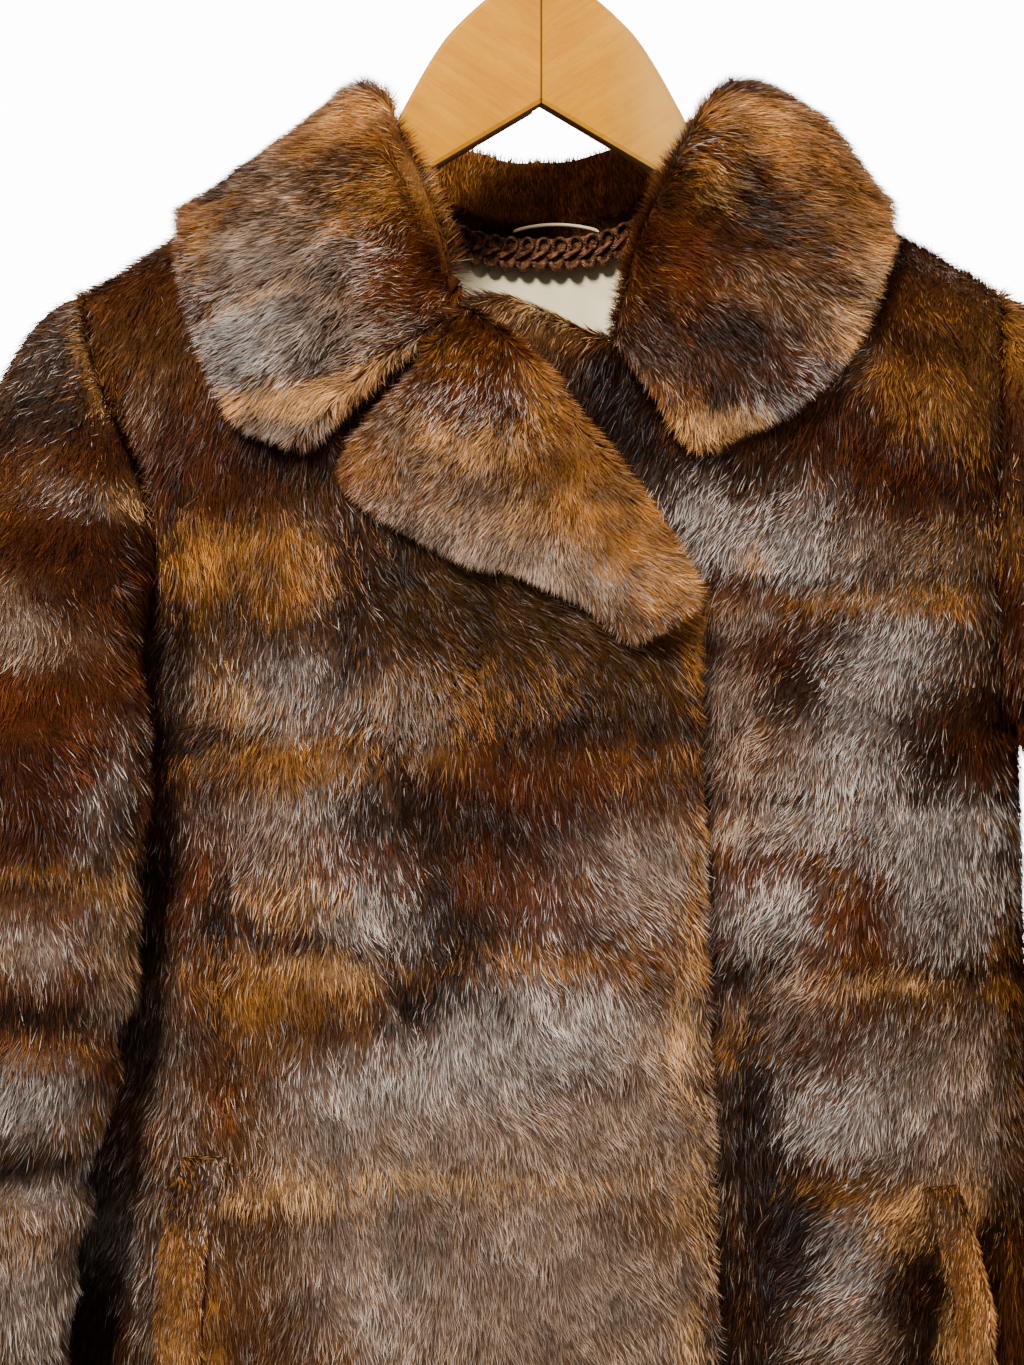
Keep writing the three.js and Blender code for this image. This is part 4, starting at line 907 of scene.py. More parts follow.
def dress(name, groups, patches, panel, rng, material, dark_tones):
    """Makes a piece of fur from groups of hairs and the tone patches that it has."""
    blades = np.concatenate(groups)
    middle = blades.mean(axis=1)
    weights = tone_weights(middle + rng.normal(0, 1.8, middle.shape), patches, panel)
    tones = pick_tones(darker_behind(weights, middle, dark_tones), rng)
    shades = 0.48 + 0.22 * noise(middle, 15, 61) + 0.13 * noise(middle, 42, 62)
    shades = shades + 0.2 * noise(middle, 6, 63) + 0.12 * rng.uniform(-1, 1, len(middle))
    return fur_piece(name, blades, tones, shades, material)


def paint_hide(piece, patches, panel, colours, dark_tones):
    """Gives a hide the average tone of the fur that grows on it, as a colour attribute."""
    mesh = piece.data
    points = np.empty(len(mesh.vertices) * 3, np.float32)
    mesh.vertices.foreach_get("co", points)
    points = points.reshape(-1, 3).astype(float) / MM
    share = darker_behind(tone_weights(points, patches, panel), points, dark_tones) ** SHARPNESS
    share = share / share.sum(axis=1, keepdims=True)
    roots, tips = tone_colours(colours)
    colour = np.ones((len(points), 4), np.float32)
    colour[:, :3] = share @ (0.65 * roots + 0.35 * tips)
    attribute = mesh.color_attributes.new("Tone", "FLOAT_COLOR", "POINT")
    attribute.data.foreach_set("color", colour.ravel())


def tone_colours(colours):
    """Root and tip colours of the tones, in their order."""
    names = ("dark", "red", "brown", "olive", "ginger", "peach", "frosted", "silver_sheen")
    tips = np.array([getattr(colours, name) for name in names])
    under = np.array(colours.underfur)
    # Roots are darker than tips: partly the dark underfur's own colour, partly painted shade deep among the
    # hairs.
    frost = np.array([0.3, 0.36, 0.36, 0.4, 0.42, 0.5, 0.25, 0.25])[:, None]
    roots = tips * frost + under * (1 - frost) * 0.6
    roots[FROSTED] = 0.55 * np.array(colours.brown)
    roots[SILVER_SHEEN] = 0.6 * np.array(colours.brown)
    return roots, tips


# ------------------------------------------------------------------ materials
def node(tree, kind, sockets=None, **settings):
    """A shader node with its sockets set, or linked where the value is another node's socket."""
    new = tree.nodes.new("ShaderNode" + kind)
    for key, value in settings.items():
        setattr(new, key, value)
    for key, value in (sockets or {}).items():
        if isinstance(value, bpy.types.NodeSocket):
            tree.links.new(value, new.inputs[key])
        else:
            new.inputs[key].default_value = value
    return new


def opaque(colour):
    return (*colour, 1.0)


def noise_map(tree, where, scale, detail, roughness=0.5, distortion=0.0):
    return node(tree, "TexNoise", {
        "Vector": where, "Scale": scale, "Detail": detail, "Roughness": roughness, "Distortion": distortion,
    }).outputs[0]


def stretched(tree, where, scale):
    return node(tree, "Mapping", {"Vector": where, "Scale": scale}).outputs[0]


def twill(tree, where, scale, distortion, detail):
    sockets = {"Vector": where, "Scale": scale, "Distortion": distortion, "Detail": detail}
    return node(tree, "TexWave", sockets, bands_direction="DIAGONAL").outputs[1]


def dimmed(colour, factors):
    return tuple(part * factor for part, factor in zip(colour, factors))


def maths(tree, operation, first, second=0.5):
    return node(tree, "Math", {0: first, 1: second}, operation=operation).outputs[0]


def mixed(tree, factor, low, high, blend="MIX"):
    mix = node(tree, "Mix", {0: factor, 6: low, 7: high}, data_type="RGBA", blend_type=blend)
    return mix.outputs[2]


def ramp(tree, factor, stops, interpolation="LINEAR"):
    new = node(tree, "ValToRGB", {0: factor})
    elements = new.color_ramp.elements
    new.color_ramp.interpolation = interpolation
    while len(elements) < len(stops):
        elements.new(1.0)
    for element, (place, value) in zip(elements, stops):
        element.position = place
        element.color = opaque(value if hasattr(value, "__len__") else (value,) * 3)
    return new.outputs[0]


def new_material(name):
    material = bpy.data.materials.new(name)
    material.use_nodes = True
    material.node_tree.nodes.clear()
    return material, material.node_tree


def finish_material(tree, sockets, bump=None, strength=0.0, distance=0.0):
    if bump is not None:
        relief_of = {"Strength": strength, "Distance": distance, "Height": bump}
        sockets["Normal"] = node(tree, "Bump", relief_of).outputs[0]
    shader = node(tree, "BsdfPrincipled", sockets)
    node(tree, "OutputMaterial", {"Surface": shader.outputs[0]})


def guard_hair(colours):
    """Hair whose tone and shade come from its place on the map: dark at the root, light at the tip."""
    material, tree = new_material("guard_hair")
    place = node(tree, "UVMap", uv_map="OFBake").outputs[0]
    split = node(tree, "SeparateXYZ", {0: place})
    scaled = maths(tree, "MULTIPLY", split.outputs[1], float(TONES))
    along = maths(tree, "MULTIPLY", maths(tree, "FRACT", scaled), 1.05)
    tone = maths(tree, "DIVIDE", maths(tree, "ADD", maths(tree, "FLOOR", scaled), 0.5), float(TONES))
    roots, tips = tone_colours(colours)
    root = ramp(tree, tone, [(row / TONES, tuple(roots[row])) for row in range(TONES)], "CONSTANT")
    tip = ramp(tree, tone, [(row / TONES, tuple(tips[row])) for row in range(TONES)], "CONSTANT")
    rise = ramp(tree, along, [(0.0, 0.0), (0.3, 0.12), (0.62, 0.7), (1.0, 1.0)])
    late = ramp(tree, along, [(0.0, 0.0), (0.34, 0.1), (0.55, 0.4), (0.8, 1.0)])
    # Frosted hair and the silver painted sheen grow light only near the tip.
    tipped = maths(tree, "GREATER_THAN", tone, FROSTED / TONES)
    rise = node(tree, "Mix", {0: tipped, 2: rise, 3: late}).outputs[0]
    colour = mixed(tree, rise, root, tip)
    shade = ramp(tree, split.outputs[0], [(0.0, 0.14), (0.35, 0.55), (0.65, 1.1), (1.0, 2.2)])
    colour = mixed(tree, 1.0, colour, shade, "MULTIPLY")
    finish_material(tree, {"Base Color": colour, "Roughness": 0.4, "Specular IOR Level": 0.14})
    return material


def underfur(colours):
    """The hide's own dense, matt fur, in the tone painted on it, with fine dark partings."""
    material, tree = new_material("underfur")
    tone = node(tree, "VertexColor", layer_name="Tone").outputs[0]
    where = node(tree, "TexCoord").outputs["Object"]
    fine = noise_map(tree, stretched(tree, where, (1.0, 1.0, 0.16)), 1500.0, 3.0, roughness=0.7)
    lumps = noise_map(tree, where, 110.0, 3.0)
    colour = mixed(tree, 1.0, tone, ramp(tree, fine, [(0.3, 0.18), (0.7, 1.05)]), "MULTIPLY")
    colour = mixed(tree, 1.0, colour, ramp(tree, lumps, [(0.3, 0.6), (0.7, 1.0)]), "MULTIPLY")
    sockets = {"Base Color": colour, "Roughness": 0.95, "Specular IOR Level": 0.05}
    finish_material(tree, sockets, fine, 0.6, 0.002)
    return material


def satin(colours):
    """Cream satin: a very fine twill, soft pulls and slightly yellowed patches."""
    material, tree = new_material("lining_satin")
    where = node(tree, "TexCoord").outputs["Object"]
    weave = twill(tree, where, 900.0, 1.5, 1.0)
    pulls = noise_map(tree, stretched(tree, where, (1.0, 1.0, 0.08)), 240.0, 4.0)
    stain = noise_map(tree, where, 16.0, 4.0)
    yellowed = opaque(dimmed(colours.satin, (0.8, 0.76, 0.66)))
    colour = mixed(tree, ramp(tree, stain, [(0.35, 0.0), (0.75, 1.0)]), opaque(colours.satin), yellowed)
    colour = mixed(tree, 1.0, colour, ramp(tree, weave, [(0.0, 0.9), (1.0, 1.0)]), "MULTIPLY")
    height = maths(tree, "ADD", maths(tree, "MULTIPLY", weave, 0.3), pulls)
    finish_material(tree, {
        "Base Color": colour, "Roughness": ramp(tree, pulls, [(0.2, 0.3), (0.8, 0.5)]),
        "Specular IOR Level": 0.5, "Sheen Weight": 0.25, "Sheen Roughness": 0.3,
        "Anisotropic": 0.3,
    }, height, 0.25, 0.0008)
    return material


def gimp(colours):
    """Braid cord: dark rayon thread wound round a core, coppery where the thread catches light."""
    material, tree = new_material("braid_cord")
    where = node(tree, "TexCoord").outputs["Object"]
    wind = twill(tree, where, 620.0, 2.0, 2.0)
    patch = noise_map(tree, where, 320.0, 3.0)
    glint = maths(tree, "MULTIPLY", wind, ramp(tree, patch, [(0.42, 0.0), (0.68, 0.85)]))
    colour = mixed(tree, glint, opaque(colours.braid), opaque(colours.braid_glint))
    sockets = {"Base Color": colour, "Roughness": 0.45, "Specular IOR Level": 0.3}
    finish_material(tree, sockets, wind, 0.7, 0.0006)
    return material


def wood(name, side, colours):
    """Varnished beech, its grain running down the arm, paler where the varnish has worn, with painted shade
    on its underside.
    """
    material, tree = new_material(name)
    where = node(tree, "TexCoord").outputs["Object"]
    lean = side * math.radians(33)
    laid = node(tree, "Mapping", {"Vector": where, "Rotation": (0.0, lean, 0.0)}).outputs[0]
    long = stretched(tree, laid, (0.09, 1.0, 1.0))
    grain = noise_map(tree, long, 420.0, 5.0, roughness=0.65)
    bands = noise_map(tree, long, 60.0, 3.0, distortion=0.6)
    flecks = stretched(tree, laid, (0.35, 1.0, 1.0))
    flecks = node(tree, "TexVoronoi", {"Vector": flecks, "Scale": 480.0}).outputs[0]
    cloud = noise_map(tree, where, 32.0, 4.0)
    honey, amber = opaque(colours.wood), opaque(colours.wood_dark)
    colour = mixed(tree, ramp(tree, grain, [(0.3, 1.0), (0.62, 0.0)]), honey, amber)
    colour = mixed(tree, ramp(tree, bands, [(0.35, 0.45), (0.65, 0.0)]), colour, amber)
    colour = mixed(tree, 1.0, colour, ramp(tree, flecks, [(0.0, 0.8), (0.22, 1.0)]), "MULTIPLY")
    colour = mixed(tree, 1.0, colour, ramp(tree, cloud, [(0.3, 0.84), (0.7, 1.06)]), "MULTIPLY")
    split = node(tree, "SeparateXYZ", {0: where})
    if side > 0:
        worn = maths(tree, "ADD", split.outputs[0], maths(tree, "MULTIPLY", cloud, 0.03))
        worn = ramp(tree, maths(tree, "MULTIPLY", worn, 8.0), [(0.34, 0.0), (0.8, 0.78)])
        colour = mixed(tree, worn, colour, opaque(colours.wood_worn))
    joint = ramp(tree, maths(tree, "ABSOLUTE", maths(tree, "MULTIPLY", split.outputs[0], 400.0)),
                 [(0.1, 0.35), (0.3, 1.0)])
    colour = mixed(tree, 1.0, colour, joint, "MULTIPLY")
    # Painted shade: faces that turn downwards darken towards the underside colour.
    facing = node(tree, "SeparateXYZ", {0: node(tree, "NewGeometry").outputs["Normal"]}).outputs[2]
    under = ramp(tree, maths(tree, "MULTIPLY", facing, -1.0), [(0.3, 0.0), (0.62, 0.8)])
    colour = mixed(tree, under, colour, opaque(colours.wood_underside_shade))
    finish_material(tree, {
        "Base Color": colour, "Roughness": ramp(tree, grain, [(0.3, 0.5), (0.7, 0.32)]),
        "Specular IOR Level": 0.08, "Coat Weight": 0.03, "Coat Roughness": 0.3,
    }, grain, 0.18, 0.0006)
    return material


def steel(colours):
    """Drawn steel wire, lightly brushed along and faintly stained."""
    material, tree = new_material("hook_wire")
    where = node(tree, "TexCoord").outputs["Object"]
    fine = noise_map(tree, where, 900.0, 4.0)
    stain = noise_map(tree, where, 120.0, 3.0)
    dull = opaque(dimmed(colours.steel, (0.55, 0.5, 0.44)))
    colour = mixed(tree, ramp(tree, stain, [(0.5, 0.0), (0.75, 0.8)]), opaque(colours.steel), dull)
    finish_material(tree, {
        "Base Color": colour, "Metallic": 1.0, "Roughness": ramp(tree, fine, [(0.3, 0.2), (0.7, 0.42)]),
    }, fine, 0.1, 0.0003)
    return material


def shared(name, make, colours):
    return bpy.data.materials.get(name) or make(colours)


# ------------------------------------------------------------------ the way the hair lies
# Degrees from straight down towards +X, then swirls: across, height, half length, half width,
# turn, degrees more
FLOWS = {
    "front_right": (9, [
        (0, -345, 95, 50, -15, 46), (50, -640, 90, 200, 0, 20), (-150, -300, 40, 60, 0, -12),
    ]),
    "front_left": (-38, [
        (150, -280, 60, 46, 0, 16), (92, -600, 22, 130, 0, 26), (150, -650, 46, 46, 0, -20),
    ]),
    "back": (0, [(-120, -500, 80, 240, 0, -9), (130, -600, 80, 240, 0, 10), (0, -300, 120, 60, 0, 6)]),
    "sleeve_right": (-10, [
        (-235, -250, 55, 60, 0, -34), (-205, -430, 26, 80, 0, 34), (-300, -700, 60, 60, 0, 8),
    ]),
    "sleeve_left": (-12, [(235, -250, 55, 60, 0, 40)]),
}


def laid_at(degrees):
    """Directions at angles from straight down towards +X."""
    angle = np.radians(degrees)
    return np.stack([np.sin(angle), 0 * angle, -np.cos(angle)], axis=-1)


def flow_of(name, points):
    base, swirls = FLOWS[name]
    angle = np.full(points.shape[:-1], float(base))
    for across, level, long, short, turn, degrees in swirls:
        angle += degrees * oval(points[..., 0], points[..., 2], across, level, long, short, turn)
    return laid_at(angle)


def panel_density(panel, points):
    """How thickly to grow: all of it where it shows, little under the collar and the lap."""
    x, z = points[..., 0], points[..., 2]
    drop = shoulder_line(x) - z
    density = 0.26 + 0.74 * smooth((z + 730) / 50)
    if panel == "front_right":
        hidden = (drop < 100) & (x > -128)
    elif panel == "front_left":
        edge = np.interp(z, FRONT_EDGE["front_right"][:, 0], FRONT_EDGE["front_right"][:, 1])
        hidden = ((drop < 95) & (x > 40) & (x < 128)) | ((z < -385) & (x < edge - 16))
    else:
        density = np.ones_like(x)
        hidden = (drop < 70) & (np.abs(x) < 110)
    return np.where(hidden, 0.1, density)


# ------------------------------------------------------------------ settings
def colour_setting(name, description, default):
    return FloatVectorProperty(name=name, description=description, default=default, min=0, max=1, size=3,
                               subtype="COLOR")


class CoatSizes(bpy.types.PropertyGroup):
    hair_length: FloatProperty(name="Hair Length", description="Length of the guard hair", default=0.0095,
                               min=0.004, max=0.03, subtype="DISTANCE", unit="LENGTH")
    hair_width: FloatProperty(name="Hair Width", description="Width of a lock of guard hair at its root",
                              default=0.00046, min=0.0003, max=0.003, subtype="DISTANCE", unit="LENGTH")
    hair_rise: FloatProperty(name="Hair Rise", description="How far the hair stands off the hide",
                             default=0.3, min=0.0, max=1.2, subtype="ANGLE", unit="ROTATION")
    fullness: FloatProperty(name="Fullness", description="Share of the usual number of hairs", default=1.0,
                            min=0.05, max=1.0, subtype="FACTOR")
    lining_thickness: FloatProperty(name="Lining Thickness", description="Thickness of the lining's satin",
                                    default=0.0016, min=0.0005, max=0.003, subtype="DISTANCE", unit="LENGTH")
    braid_pitch: FloatProperty(name="Braid Pitch", description="Width of one scallop of the neck braid",
                               default=0.0083, min=0.005, max=0.02, subtype="DISTANCE", unit="LENGTH")
    seed: IntProperty(name="Seed", description="Start of the hairs' random places", default=7, min=0)


class CoatColours(bpy.types.PropertyGroup):
    dark: colour_setting("Dark", "Near-black chocolate hair", (0.018, 0.0055, 0.0018))
    red: colour_setting("Red Brown", "Reddish brown hair", (0.105, 0.0210, 0.0020))
    brown: colour_setting("Brown", "Middle brown hair", (0.130, 0.044, 0.0075))
    olive: colour_setting("Golden Brown", "Dark golden brown hair", (0.078, 0.030, 0.0022))
    ginger: colour_setting("Ginger", "Ginger hair", (0.430, 0.158, 0.0250))
    peach: colour_setting("Peach", "Pale peach underfur that shows at edges", (0.780, 0.380, 0.1300))
    frosted: colour_setting("Frosted", "Greyish brown hair", (0.460, 0.320, 0.2200))
    # Painted sheen: the silver tone's tips stand for light that glossy guard hair reflects.
    silver_sheen: colour_setting("Silver", "Hair with silvery tips", (0.820, 0.700, 0.6000))
    underfur: colour_setting("Underfur", "Dark underfur at the roots", (0.018, 0.0055, 0.0018))
    satin: colour_setting("Satin", "Cream lining", (0.900, 0.760, 0.440))
    braid: colour_setting("Braid", "Dark thread of the neck braid", (0.045, 0.014, 0.005))
    braid_glint: colour_setting("Braid Glint", "Coppery light on the braid", (0.520, 0.200, 0.070))
    wood: colour_setting("Wood", "Honey-coloured wood", (0.600, 0.250, 0.0000))
    wood_dark: colour_setting("Wood Grain", "Darker grain of the wood", (0.500, 0.165, 0.0000))
    wood_worn: colour_setting("Worn Wood", "Wood whose varnish has worn", (0.680, 0.400, 0.1200))
    # The colour of the painted shade on the hanger's underside.
    wood_underside_shade: colour_setting("Wood Underside", "Grimy underside of the hanger", (0.045, 0.022, 0.010))
    steel: colour_setting("Steel", "Steel of the hook", (0.560, 0.560, 0.570))
    floor: colour_setting("Floor", "Pale floor", (0.800, 0.795, 0.785))


def settings():
    scene = bpy.context.scene
    return scene.coat_sizes, scene.coat_colours


def draws(offset):
    """A piece's own random draws."""
    return np.random.default_rng(bpy.context.scene.coat_sizes.seed + offset)


def grow(name, walls, face, patches, panel, rng, count, style, rims, rim_style, depth=HIDE, seen=None,
         closed=False, dark_tones=None):
    """Makes a piece's hide, and the fur on its face and rims.

    A rim is a border, its number of hairs, the angles round it that they take up and how far they lean
    out. Where dark tones are given, the hair behind the neck is dark and short.
    """
    sizes, colours = settings()
    hair_material = shared("guard_hair", guard_hair, colours)
    hide_material = shared("underfur", underfur, colours)
    hide = add_piece(name + "_hide", wall_mesh(name, *walls, closed), [hide_material, hide_material])
    paint_hide(hide, patches, panel, colours, dark_tones)
    root, normal, nap, dense = scatter(face, int(count * sizes.fullness), rng, seen)
    if dark_tones is not None:
        style = (style[0] * (1 - 0.45 * smooth((root[:, 1] - 5) / 20)), *style[1:])
    groups = [hairs(root, normal, nap, rng, style, dense)]
    for border, number, spread, lean in rims:
        root, normal, nap = along_border(face.border(border), number, rng, depth, spread, lean)
        groups.append(hairs(root, normal, nap, rng, rim_style))
    fur = dress(name + "_fur", groups, patches, panel, rng, hair_material, dark_tones)
    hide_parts(name)
    return hide, fur


# ------------------------------------------------------------------ operators
CAMERA_PLACE = (-0.0137, -1.15, -0.393)
CAMERA_LENS, CAMERA_SENSOR = 64.4, 36
BACKDROP_SEEN, BACKDROP_LIGHT = 14.0, 0.32
FLOOR_FRONT, FLOOR_REACH, FLOOR_DROP = -3000, 3500, 24


class COAT_OT_stage(bpy.types.Operator):
    """Add the floor, the studio light and the camera"""

    bl_idname = "coat.stage"
    bl_label = "Stage"

    def execute(self, context):
        _, colours = settings()
        scene = context.scene
        camera = bpy.data.objects.new("camera", bpy.data.cameras.new("camera"))
        camera.location = CAMERA_PLACE
        camera.rotation_euler = (math.pi / 2, 0, 0)
        camera.data.sensor_width = CAMERA_SENSOR
        camera.data.lens = CAMERA_LENS
        camera.data.clip_start = 0.02
        scene.collection.objects.link(camera)
        scene.camera = camera
        world = bpy.data.worlds.new("studio")
        world.use_nodes = True
        tree = world.node_tree
        tree.nodes.clear()
        # The backdrop is pure white in view, but only a soft light on the coat
        seen = node(tree, "LightPath").outputs["Is Camera Ray"]
        strength = maths(tree, "ADD", maths(tree, "MULTIPLY", seen, BACKDROP_SEEN), BACKDROP_LIGHT)
        backdrop = node(tree, "Background", {"Color": opaque((1, 1, 1)), "Strength": strength})
        node(tree, "OutputWorld", {"Surface": backdrop.outputs[0]})
        scene.world = world
        # name, place, target, size, watts
        for name, place, target, size, watts in (
            ("key_light", (-0.55, -1.5, 1.0), (0.0, 0.0, -0.45), 0.4, 100),
            ("fill_light", (1.5, -1.6, 0.1), (0.0, 0.0, -0.5), 1.4, 10),
            ("back_light", (0.3, 1.4, 0.9), (0.0, 0.0, -0.4), 1.2, 34),
        ):
            light = bpy.data.lights.new(name, "AREA")
            light.energy = watts
            light.size = size
            lamp = bpy.data.objects.new(name, light)
            aim = np.array(target) - np.array(place)
            flat = math.hypot(aim[0], aim[1])
            lamp.location = place
            lamp.rotation_euler = (math.pi / 2 + math.atan2(aim[2], flat), 0, math.atan2(-aim[0], aim[1]))
            scene.collection.objects.link(lamp)
        corners = [(-1, FLOOR_FRONT), (1, FLOOR_FRONT), (1, FLOOR_REACH), (-1, FLOOR_REACH)]
        corners = np.array([(side * FLOOR_REACH, y, HEM_Z - FLOOR_DROP) for side, y in corners], float)
        mesh = tidy_mesh("floor", corners, np.array([[0, 1, 2, 3]]), rounded=False)
        material, tree = new_material("studio_floor")
        where = node(tree, "TexCoord").outputs["Object"]
        dusty = opaque(dimmed(colours.floor, (0.94, 0.94, 0.94)))
        mottled = mixed(tree, noise_map(tree, where, 3.0, 4.0), opaque(colours.floor), dusty)
        finish_material(tree, {"Base Color": mottled, "Roughness": 0.85})
        mesh.materials.append(material)
        floor = bpy.data.objects.new("floor", mesh)
        scene.collection.objects.link(floor)
        return {"FINISHED"}


class COAT_OT_fronts(bpy.types.Operator):
    """Make the two fronts, hide and fur"""

    bl_idname = "coat.fronts"
    bl_label = "Fronts"

    def execute(self, context):
        # panel, patches, free edge, hairs round the free edge, flat size
        for panel, patches, edge, edge_hairs, flat in (
            ("front_right", FRONT_RIGHT_PATCHES, "left", 9000, (0.40, 0.94)),
            ("front_left", FRONT_LEFT_PATCHES, "right", 4000, (0.40, 0.95)),
        ):
            outer, inner = panel_walls(panel, *FRONT_GRID)
            face = Face(outer, grid_normals(outer, FORWARD), flow_of(panel, outer))
            rims = (
                (edge, edge_hairs, (0.2, 2.4), 0.5), ("foot", 3500, (0.2, 2.2), 0.1),
                ("top", 8500, (0.1, 2.9), 0.4),
            )
            hide, fur = grow(
                panel, (outer, inner), face, patches, panel, draws(len(panel)), 132000, USUAL, rims,
                (0.8, 0.1, 1.2, 1), seen=panel_density(panel, outer),
            )
        return {"FINISHED"}


class COAT_OT_back(bpy.types.Operator):
    """Make the back, hide and fur"""

    bl_idname = "coat.back"
    bl_label = "Back"

    def execute(self, context):
        outer, inner = panel_walls("back", *BACK_GRID)
        face = Face(outer, grid_normals(outer, -FORWARD), flow_of("back", outer))
        rims = (("foot", 5000, (0.1, 2.2), 0.1), ("top", 4000, (0.1, 2.2), 0.1))
        hide, fur = grow(
            "back", (outer, inner), face, [], "back", draws(101), 84000, (1.15, 0, 1.8, 1), rims,
            (1, 0.1, 1.4, 1), seen=panel_density("back", outer),
        )
        return {"FINISHED"}


class COAT_OT_sleeves(bpy.types.Operator):
    """Make the two sleeves, hide and fur"""

    bl_idname = "coat.sleeves"
    bl_label = "Sleeves"

    def execute(self, context):
        # name, side, patches, hairs, how broad they are, the front that it hangs on
        for name, side, patches, count, broader, front in (
            ("sleeve_right", -1, SLEEVE_RIGHT_PATCHES, 104000, 1, "front_right_hide"),
            ("sleeve_left", 1, SLEEVE_LEFT_PATCHES, 62000, 1.6, "front_left_hide"),
        ):
            outer, inner = sleeve_grid(side, *SLEEVE_GRID)
            normals = tube_normals(outer)
            flow = flow_of(name, outer) + 0.6 * unit(np.gradient(outer, axis=0))
            seen = 0.3 + 0.7 * smooth((20 - outer[..., 1]) / 40) if side < 0 else None
            rims = (("foot", 3500, (0.1, 2.4), 0.1), ("top", 5000, (0.0, 0.9), 0.1))
            hide, fur = grow(
                name, (outer, inner), Face(outer, normals, flow), patches, "sleeve", draws(211 + side), count,
                (1, 0, broader, 1), rims, (0.9, 0.15, 1.2, 1), seen=seen, closed=True,
            )
        return {"FINISHED"}


COLLAR_HIDE = 4.5
COLLAR_CENTRE = np.array((0.0, 0.0, -190.0))
# How much dark, red, brown and ginger hair grows behind the neck
NECK_TONES = (0.3, 0.8, 1.4, 1.9)
# Creases of the collar's leaves: across, height, half length, half width, turn, rise
COLLAR_CREASES = [
    (-128, -224, 24, 4, 14, -2.5), (-126, -246, 26, 14, 0, 2.5), (-90, -250, 20, 6, 35, -3),
    (-88, -176, 14, 9, 50, -3), (64, -239, 24, 9, -25, -3), (103, -220, 32, 4, -8, -2),
    (81, -200, 10, 5, -20, -3), (92, -172, 5, 15, 10, -3), (96, -255, 30, 12, -5, 2),
]


class COAT_OT_collar(bpy.types.Operator):
    """Make the fold-down collar, hide and fur"""

    bl_idname = "coat.collar"
    bl_label = "Collar"

    def execute(self, context):
        grid = collar_grid(*COLLAR_GRID)
        normals = grid_normals(grid, grid - COLLAR_CENTRE)
        bump = 1.5 * noise(grid, 38, 71) + 0.9 * noise(grid, 15, 72)
        bump = creased(bump, COLLAR_CREASES, grid[..., 0], grid[..., 2], smooth(-grid[..., 1] / 20))
        share = np.linspace(0, 1, grid.shape[1])
        outer = grid + normals * np.maximum(bump * smooth(share * 4), -3)[..., None]
        drop = np.array((0, 0, -0.45)) * smooth(share * 2 - 0.6)[None, :, None]
        face = Face(outer, normals, unit(np.gradient(outer, axis=1)) + drop)
        rims = (
            ("right", 15000, (0.0, 2.7), 0.45), ("top", 2500, (0.2, 2.4), 0.6),
            ("foot", 2500, (0.2, 2.4), 0.6), ("left", 9000, (0.0, 2.6), 0.3),
        )
        hide, fur = grow(
            "collar", (outer, grid - normals * COLLAR_HIDE), face, COLLAR_PATCHES, None, draws(307), 138000,
            (1, 0.08, 1, 1.15), rims, (1, 0.15, 1, 1.2), COLLAR_HIDE,
            seen=np.where(grid[..., 1] > 25, 0.4, 1.0), dark_tones=NECK_TONES,
        )
        return {"FINISHED"}


class COAT_OT_revers(bpy.types.Operator):
    """Make the turned revers of the right front"""

    bl_idname = "coat.revers"
    bl_label = "Revers"

    def execute(self, context):
        outer = revers_grid(*REVERS_GRID, 4.0, 8.0)
        outer[..., 1] -= 1.2 * noise(outer, 30, 81) + 0.7 * noise(outer, 12, 82)
        inner = revers_grid(*REVERS_GRID, 1.0, 3.0)
        flow = laid_at(-26 + 56 * smooth((outer[..., 0] + 70) / 130))
        spread = (0.0, 2.2)
        rims = (
            ("right", 9000, spread, 0.5), ("left", 4500, spread, 0.4), ("top", 1500, spread, 0.5),
            ("foot", 900, spread, 0.4),
        )
        hide, fur = grow(
            "revers_right", (outer, inner), Face(outer, grid_normals(outer, FORWARD), flow), REVERS_PATCHES,
            None, draws(401), 40000, (1, 0.06, 1, 1.1), rims, (1, 0.12, 1, 1.1), 5.0,
        )
        return {"FINISHED"}


# Height and distance from the middle of each pocket's edge
POCKETS = {
    -1: np.array([(-755, 162), (-640, 157), (-600, 150)], float),
    1: np.array([(-772, 195), (-666, 194), (-616, 180)], float),
}
POCKET_EDGE_WIDTH = 15
# Tone patches of the pocket edges
POCKET_PATCHES = [
    (-163, -670, 14, 90, 0, G, 1.0), (-157, -610, 8, 14, 0, D, 1.6), (-160, -720, 12, 40, 0, P, 1.2),
    (190, -700, 14, 90, 0, G, 1.2), (194, -690, 8, 60, 0, P, 1.2), (186, -622, 10, 8, 0, D, 1.2),
]


